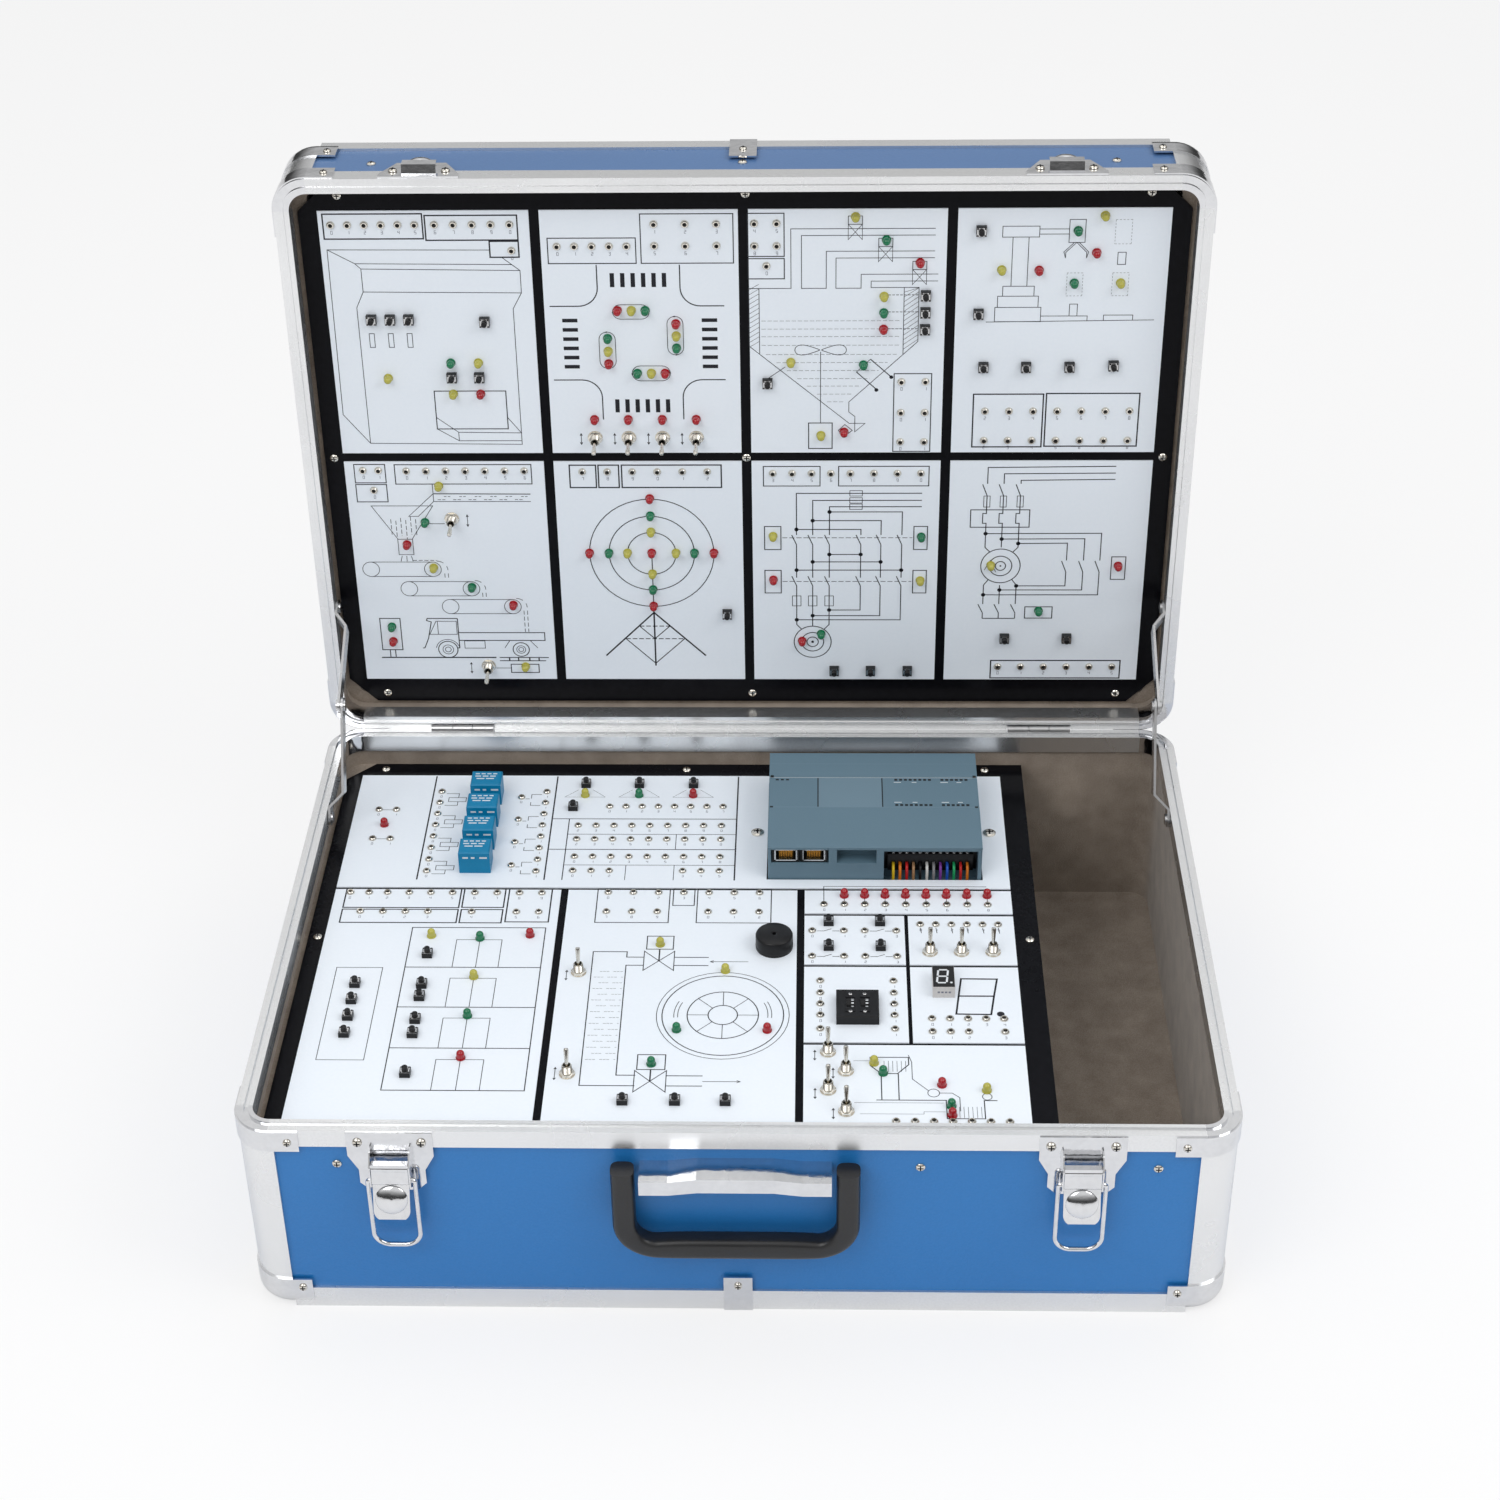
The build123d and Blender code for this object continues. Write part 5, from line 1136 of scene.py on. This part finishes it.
def makeThumbwheels():
    for side in ("left", "right"):
        low, high = nodeBox("thumbwheel_" + side)
        mid, r = (low + high) / 2, (high.y - low.y) / 2
        rib = slab(-wheel["ribHalf"], wheel["ribHalf"], -wheel["ribLong"], wheel["ribLong"],
                   r - 0.25, r + 0.02)
        dash = slab(-wheel["markHalf"], wheel["markHalf"], -wheel["markLong"], wheel["markLong"],
                    r - 0.06, r + 0.03)
        ribs, marks = [], []
        for k in range(wheel["ribs"]):
            a = 2 * math.pi * k / wheel["ribs"]
            c, t = math.cos(a), math.sin(a)
            for (points, faces), made, x in ((rib, ribs, mid.x - wheel["apart"]),
                                             (dash, marks, mid.x + wheel["apart"])):
                if made is ribs or k % 2 == 0:
                    turned = np.stack([x + points[:, 1], mid.y + points[:, 2] * t + points[:, 0] * c,
                                       mid.z + points[:, 2] * c - points[:, 0] * t], 1)
                    made.append((turned, faces))
        name, body = "thumbwheel" + side.title(), "thumbwheel_" + side
        piece(name + "Ribs", ribs, "dark", body, smooth=False)
        piece(name + "Marks", marks, "printWhite", body, smooth=False)
    low, high = nodeBox("thumbwheel_frame")
    mid, top, s = (low + high) / 2, high.z, dial
    corners = [(a, b) for a in (-1, 1) for b in (-1, 1)]
    pads = [((mid.x + a * s["screwX"], mid.y + b * s["screwY"], top), (0, 0, 1)) for a, b in corners]
    screwHeads("dialScrews", pads, s["screw"], "base", "steel")
    guides = []
    for a, b in corners:
        x, y = mid.x + a * s["screwX"], mid.y + b * s["guideY"]
        guides.append(slab(x - s["guideHalf"], x + s["guideHalf"], y - 1.6, y - 1.1, top - 0.02, top + 0.35))
    piece("dialGuides", guides, "blackPlastic", "base", smooth=False)


makeRelays()
makeBuzzer()
makeDisplay()
makeThumbwheels()
print("relays, buzzer, display and wheels made")


# the controller; places are counted from the middle of its top

control = {
    "band": (-7.8, 23.8), "bandDrop": 0.8, "lamp": 1.9, "lampPitch": 3.0, "panel": (-34.5, 5.5),
    "lampRows": ((14.2, 8), (43, 6)), "shortLamps": (-60, 3.2), "edge": 65, "wireRadius": 0.9,
    "wireBend": 2.0, "screw": 1.45, "head": 1.3,
}
jack = {
    "first": -54, "pitch": 17, "drop": 6.4, "pins": 8, "pinFirst": -3.6, "pinPitch": 1.02, "pinHalf": 0.25,
    # the four sides of a jack's frame, as x and z from its middle
    "frame": ((-6.9, -6.1, -4.3, 4.1), (6.1, 6.9, -4.3, 4.1), (-6.9, 6.9, 3.5, 4.1),
              (-6.9, 6.9, -4.3, -3.6)),
}
leadOrder = ["yellow", "orange", "red", "tan", "black", "white", "grey", "purple", "blue", "green", "red",
             "orange"]


def makeControllerTop(low, high, coverTop):
    bandTop = coverTop - control["bandDrop"]
    cx, cy = (low.x + high.x) / 2, (low.y + high.y) / 2
    bandLow, bandHigh = control["band"]
    left, right = control["panel"]
    half, edge = control["lamp"] / 2, control["edge"]

    def onBand(x1, x2, y1, y2, high=0.06):
        return slab(cx + x1, cx + x2, cy + y1, cy + y2, bandTop - 0.3, bandTop + high)

    slots = []
    for row in (bandHigh - 2.2, bandLow + 2.6):
        for first, count in control["lampRows"]:
            for k in range(count):
                x = first + k * control["lampPitch"]
                slots.append(onBand(x - half, x + half, row - half, row + half, 0.10))
    first, pitch = control["shortLamps"]
    for x in (first, first + pitch, first + 2 * pitch):
        slots.append(onBand(x - half, x + half, bandHigh - 3, bandHigh - 1.6, 0.10))
    for x in (left, right):
        slots.append(onBand(x - 0.35, x + 0.35, bandLow + 0.4, bandHigh - 0.4, 0.03))
    for x in (-64.2, 62.2):
        for y in (bandLow - 1.4, bandHigh - 0.2):
            slots.append(slab(cx + x, cx + x + 2, cy + y, cy + y + 1.6, coverTop - 0.5, coverTop + 0.04))
    piece("controllerSlots", slots, "dark", "base", smooth=False)
    pale = onBand(left + 0.6, right - 0.6, bandLow + 0.5, bandHigh - 0.5, 0.02)
    piece("controllerPanels", [pale], "controllerPale", "base", smooth=False)
    seams = [onBand(-edge, edge, bandLow - 0.25, bandLow + 0.15, 0.12),
             onBand(-edge, edge, bandHigh - 0.15, bandHigh + 0.1, 0.05)]
    seams += [onBand(x, x + long, y, y + 0.55, 0.05) for y in (bandHigh - 5.2, bandLow + 5.2)
              for x, long in ((12.8, 4.5), (24, 3), (42, 4.5), (52, 3))]
    piece("controllerPrint", seams, "printWhite", "base", smooth=False)
    ribs = [slab(low.x + 0.02, high.x - 0.02, low.y + 41.2, low.y + 41.7, coverTop - 0.6, coverTop + 0.02),
            slab(low.x + 1, high.x - 1, high.y - 12.5, high.y - 12.1, coverTop - 0.3, coverTop + 0.015)]
    piece("controllerSeams", ribs, "controllerPale", "base", smooth=False)


def makeJacks(cx, front, coverTop):
    s = jack
    z = coverTop - s["drop"]
    frames, contacts = [], []
    for middle in (cx + s["first"], cx + s["first"] + s["pitch"]):
        for x1, x2, z1, z2 in s["frame"]:
            frames.append(slab(middle + x1, middle + x2, front + 0.7, front + 5, z + z1, z + z2))
        for pin in range(s["pins"]):
            x = middle + s["pinFirst"] + pin * s["pinPitch"]
            contacts.append(slab(x - s["pinHalf"], x + s["pinHalf"], front + 1.6, front + 6.6,
                                 z - 3.4, z - 2.9))
        contacts.append(slab(middle - 4.6, middle + 4.6, front + 6.2, front + 6.8, z - 3.2, z - 0.6))
    piece("jackFrames", frames, "steel", "base", smooth=False)
    piece("jackContacts", contacts, "brass", "base", smooth=False)


def makeLeads(front, coverTop):
    # each lead comes out of its terminal and bends down
    low, high = nodeBox("terminal_wires")
    places = sorted({round(float(m[0]), 2) for m, h in islands("terminal_wires")})
    r, bend = control["wireRadius"], control["wireBend"]
    y, z = low.y + r, high.z - r
    byColor = {}
    for x, color in zip(places, leadOrder):
        turn = [(x, y + bend - bend * math.sin(a), z - bend + bend * math.cos(a))
                for a in np.linspace(0, math.pi / 2, 7)]
        path = [(x, high.y + 1.5, z), (x, y + bend + 0.8, z), *turn, (x, y, low.z + 2), (x, y, low.z)]
        byColor.setdefault(color, []).append(tube(path, r, 10))
    for k, (color, tubes) in enumerate(byColor.items()):
        piece(color + "Leads", tubes, color + "Wire", "base", ["terminal_wires"] if k == 0 else ())
    ledge = [((x, front + 10, coverTop - 11), (0, 0, 1)) for x in places]
    screwHeads("terminalScrews", ledge, control["screw"], "base", "steel")
    # a dark sheet behind each terminal's front screw is painted shade for the pocket it sits in
    cells = [slab(x - 1.9, x + 1.9, front + 11.5, front + 12.02, coverTop - 9.6, coverTop - 4.6)
             for x in places]
    piece("terminalPocketShade", cells, "dark", "base", smooth=False)
    heads = [((x, front + 11.6, coverTop - 7.1), (0, -1, 0)) for x in places]
    screwHeads("terminalHeads", heads, control["head"], "base", "steel")


def makeController():
    low, high = nodeBox("controller_body")
    coverTop = nodeBox("controller_covers")[1].z
    makeControllerTop(low, high, coverTop)
    makeJacks((low.x + high.x) / 2, low.y, coverTop)
    makeLeads(low.y, coverTop)


makeController()
print("controller made")


# screws and rivets of the case; the side walls are the widest part, so no head stands on them

case = {"ear": 30, "earDrop": 8.0, "ball": 27.5, "ballRise": 15.5, "clipRise": 19, "lidClipRise": 15,
        "rivet": 2.3, "skin": 1.0}
latch = {"screw": 2.7, "plateScrew": (17.2, 1.2, 6.6), "catchScrew": (15.2, 7.5, 1.2)}
bulge = {"turns": 24, "rings": 8, "catch": (9.2, 7.0, 5.9), "catchBack": 15.4, "catchRise": 0.15,
         "lever": (9.0, 8.6, 2.7), "leverOut": 4.05, "leverRise": 11.6, "leverSlope": 18.4}


def makeRivets():
    s, skin = case, case["skin"]
    low, high = nodeBox("base_corner_posts")
    lidLow, lidHigh = nodeBox("lid_edge_frame")
    rim, seam = nodeBox("base_rim_frame")[1].z, nodeBox("lid_rim_frame")[0].y
    front, back, above, under = low.y - skin, high.y + skin, lidHigh.z + skin, lidLow.z - skin
    base, lid = [], []
    for side in (-1, 1):
        ear, ball = side * (high.x - s["ear"]), side * (high.x - s["ball"])
        base += [((ear, front, rim - s["earDrop"]), (0, -1, 0)), ((ball, front, s["ballRise"]), (0, -1, 0)),
                 ((ball, back, s["ballRise"]), (0, 1, 0))]
        ear, ball = side * (lidHigh.x - s["ear"]), side * (lidHigh.x - s["ball"])
        far = lidHigh.y - s["ballRise"]
        lid += [((ear, seam + s["earDrop"], above), (0, 0, 1)), ((ball, far, above), (0, 0, 1)),
                ((ball, far, under), (0, 0, -1))]
    base.append(((0, front, s["clipRise"]), (0, -1, 0)))
    lid.append(((0, lidHigh.y - s["lidClipRise"], above), (0, 0, 1)))
    screwHeads("baseRivets", base, s["rivet"], "base")
    screwHeads("lidRivets", lid, s["rivet"], "lid")


def bulgeShape(radii):
    a = np.arange(bulge["turns"]) * 2 * math.pi / bulge["turns"]
    u = np.linspace(0, math.radians(89.5), bulge["rings"])[:, None]
    unit = np.stack([np.cos(a) * np.cos(u), np.sin(a) * np.cos(u), np.sin(u) + 0 * a], -1)
    return unit.reshape(-1, 3) * radii, gridFaces(bulge["rings"], bulge["turns"], wrapCols=True)


def makeLatches():
    # screws of both plates, then pressed bulges: behind each catch's hook and on each lever's sloping face
    plateTop, wall = nodeBox("latch_plates")[1].z, nodeBox("base_corner_posts")[0].y
    catch = nodeBox("lid_catches")[0]
    levers = {side: nodeBox("latch_lever_" + side) for side in ("left", "right")}
    middles = {side: (low.x + high.x) / 2 for side, (low, high) in levers.items()}
    apart, out, down = latch["plateScrew"]
    spots = [((x + b * apart, wall - out, plateTop - down), (0, -1, 0))
             for x in middles.values() for b in (-1, 1)]
    screwHeads("latchScrews", spots, latch["screw"], "base")
    apart, back, up = latch["catchScrew"]
    spots = [((x + b * apart, catch.y + back, catch.z + up), (0, 0, 1))
             for x in middles.values() for b in (-1, 1)]
    screwHeads("catchScrews", spots, latch["screw"], "lid")
    places = [(x, catch.y + bulge["catchBack"], catch.z + bulge["catchRise"]) for x in middles.values()]
    piece("catchDomes", [stamped(bulgeShape(bulge["catch"]), places)], "chrome", "lid")
    slope = math.radians(bulge["leverSlope"])
    c, t = math.cos(slope), math.sin(slope)
    for side, (low, high) in levers.items():
        points, faces = bulgeShape(bulge["lever"])
        across, along, out = points.T
        points = np.stack([across + middles[side], along * t - out * c + low.y + bulge["leverOut"],
                           along * c + out * t + low.z + bulge["leverRise"]], -1)
        piece(side + "LeverBulge", [(points, faces)], "chrome", "latch_lever_" + side)


def makeBoardScrews():
    # a dome and a cross of painted shade on each CAD screw; the thin way of its solid is the way it faces
    for half in ("base", "lid"):
        heads = []
        for m, h in islands(half + "_screws"):
            thin = int(np.argmin(h))
            out = np.zeros(3)
            out[thin] = -1 if thin == 1 else 1
            heads.append((m - out * h[thin], out, round(max(h), 1)))
        for k, radius in enumerate(sorted({r for foot, out, r in heads})):
            spots = [(foot, out) for foot, out, r in heads if r == radius]
            head = lathe([(radius, 0), (radius, 0.7), (radius * 0.8, 1.25), (radius * 0.45, 1.55),
                          (0.03, 1.6)], 20)
            piece(f"{half}Screws{k}", [facing(head, spots)], "nickel", half,
                  [half + "_screws"] if k == 0 else ())
            # the dark cross bars are painted shade for the driver's recess
            bars = crossBars(radius * 0.6, radius * 0.14, 1.2, 1.62)
            piece(f"{half}ScrewCrossShade{k}", [facing(bar, spots) for bar in bars], "dark", half,
                  smooth=False)


# the grip: a rounded section that swells along the bar, swept down one leg, across and up the other

grip = {"corner": 18, "halfWide": 6.5, "halfDeep": 6.0, "swell": 1.3, "swellShare": 0.55, "power": 3.2,
        "sides": 28, "steps": 15, "topGap": 0.9, "legSteps": 8, "barSteps": 12, "taper": 12,
        "waist": 0.10, "waistLong": 9}


def makeGrip():
    s = grip
    low, high = nodeBox("handle_grip")
    halfSpan, c = high.x - s["halfWide"], s["corner"]
    barZ, top, middleY = low.z + s["halfWide"], high.z - s["topGap"], (low.y + high.y) / 2
    leg, bar = (top - barZ - c) / s["legSteps"], (halfSpan - c) / s["barSteps"]
    path = [(-halfSpan, top - k * leg) for k in range(s["legSteps"])]
    path += [tuple(q) for q in arcPoints(-halfSpan + c, barZ + c, c, 180, 270, s["steps"])]
    path += [(-halfSpan + c + k * bar, barZ) for k in range(1, s["barSteps"])]
    path = np.array(path + [(0, barZ)])
    path = np.vstack([path, (path[:-1] * [-1, 1])[::-1]])
    along = np.gradient(path, axis=0)
    along /= np.linalg.norm(along, axis=1)[:, None]
    inward = np.stack([-along[:, 1], along[:, 0]], 1)
    a = np.arange(s["sides"]) * 2 * math.pi / s["sides"]
    ca, sa = np.cos(a), np.sin(a)
    sideways = np.sign(ca) * np.abs(ca) ** (2 / s["power"])
    depthways = np.sign(sa) * np.abs(sa) ** (2 / s["power"])
    out = np.abs(path[:, 0])
    share = np.clip(1 - out / (halfSpan - s["taper"]), 0, 1)
    swell = s["swell"] * s["swellShare"] * np.sin(np.pi * np.clip(share * 1.6, 0, 1) / 2)
    waist = 1 - s["waist"] * np.exp(-((out - (halfSpan - s["taper"])) / s["waistLong"]) ** 2)
    reach = sideways * s["halfWide"] * waist[:, None] + np.clip(sideways, 0, 1) * swell[:, None]
    ring = path[:, None] + inward[:, None] * reach[..., None]
    depth = middleY + depthways * s["halfDeep"] * np.ones(len(path))[:, None]
    points = np.stack([ring[..., 0], depth, ring[..., 1]], -1).reshape(-1, 3)
    piece("handleGrip", [(points, shut(len(path), s["sides"]))], "gripPlastic", "handle_grip",
          ["handle_grip"], sharp=60)


makeRivets()
makeLatches()
makeBoardScrews()
makeGrip()
print("case hardware made")


# light, floor and camera

# in metres; a lamp is its place, size and power, and the sky turns bright over the span of its rise
studio = {
    "floor": (0.88, 0.88, 0.885), "floorWhite": 0.66, "far": 6.0, "dark": 0.05, "bright": 0.82,
    "rise": (0.04, 0.64),
    "lamps": [((-0.9, -1.3, 1.8), 1.2, 13.5), ((1.3, -0.6, 1.6), 1.0, 8.5), ((0.0, 0.9, 2.3), 1.4, 5)],
}
# place in metres, turns in degrees, the rest in pixels of a picture as wide as its side
view = {
    "place": (0.0432, -1.2691, 1.1313), "down": 34.0, "left": 2.1, "roll": -1.1,
    "focal": 2737.5, "side": 1500, "across": -16.4, "up": -39.7, "sensor": 36,
}


def makeFloor():
    mesh = bpy.data.meshes.new("floor")
    far = studio["far"]
    mesh.from_pydata([(-far, -far, 0), (far, -far, 0), (far, far, 0), (-far, far, 0)], [], [(0, 1, 2, 3)])
    floor = inScene("floor", mesh)
    material = bpy.data.materials.new("paleFloor")
    material.use_nodes = True
    tree = material.node_tree
    shader = tree.nodes["Principled BSDF"]
    shader.inputs["Base Color"].default_value = (*studio["floor"], 1)
    shader.inputs["Roughness"].default_value = 0.9
    # the camera sees a floor most of the way to white that still holds the shadow
    link = tree.links.new
    path = tree.nodes.new("ShaderNodeLightPath")
    white = tree.nodes.new("ShaderNodeEmission")
    blend = tree.nodes.new("ShaderNodeMixShader")
    share = mathNode(tree, "MULTIPLY", path.outputs["Is Camera Ray"], studio["floorWhite"])
    link(share, blend.inputs[0])
    link(shader.outputs[0], blend.inputs[1])
    link(white.outputs[0], blend.inputs[2])
    link(blend.outputs[0], tree.nodes["Material Output"].inputs["Surface"])
    mesh.materials.append(material)
    floor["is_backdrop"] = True


def makeLights():
    world = bpy.data.worlds.new("studio")
    bpy.context.scene.world = world
    world.use_nodes = True
    tree = world.node_tree
    link = tree.links.new
    sky = tree.nodes["Background"]
    sky.inputs["Color"].default_value = (1, 1, 1, 1)
    # bright overhead and dim near the ground, so metal has something to show; white to the camera
    where = tree.nodes.new("ShaderNodeTexCoord")
    split = tree.nodes.new("ShaderNodeSeparateXYZ")
    link(where.outputs["Generated"], split.inputs[0])
    rise = spread(tree, split.outputs["Z"], studio["dark"], studio["bright"], *studio["rise"])
    rise.interpolation_type = "SMOOTHSTEP"
    path = tree.nodes.new("ShaderNodeLightPath")
    seen = tree.nodes.new("ShaderNodeMix")
    seen.inputs[3].default_value = 1.0
    link(rise.outputs[0], seen.inputs[2])
    link(path.outputs["Is Camera Ray"], seen.inputs[0])
    link(seen.outputs[0], sky.inputs["Strength"])
    low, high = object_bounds()
    middle = (low + high) / 2
    for k, (spot, size, power) in enumerate(studio["lamps"]):
        data = bpy.data.lights.new(f"softbox{k}", "AREA")
        data.size = size
        data.energy = power
        light = inScene(f"softbox{k}", data)
        light.location = spot
        light.rotation_euler = (middle - Vector(spot)).to_track_quat("-Z", "Y").to_euler()


def makeCamera():
    data = bpy.data.cameras.new("photo")
    camera = inScene("photo", data)
    down, left, roll = (math.radians(view[k]) for k in ("down", "left", "roll"))
    ahead = Vector((-math.sin(left) * math.cos(down), math.cos(left) * math.cos(down), -math.sin(down)))
    level = Vector((math.cos(left), math.sin(left), 0))
    upright = level.cross(ahead)
    right = math.cos(roll) * level + math.sin(roll) * upright
    top = -math.sin(roll) * level + math.cos(roll) * upright
    turn = Matrix((right, top, -ahead)).transposed()
    camera.matrix_world = Matrix.Translation(view["place"]) @ turn.to_4x4()
    data.sensor_width = view["sensor"]
    data.lens = view["focal"] / view["side"] * view["sensor"]
    data.shift_x = -view["across"] / view["side"]
    data.shift_y = view["up"] / view["side"]
    bpy.context.scene.camera = camera


makeFloor()
makeLights()
makeCamera()
bpy.context.scene.view_settings.view_transform = "Standard"
print("scene ready")
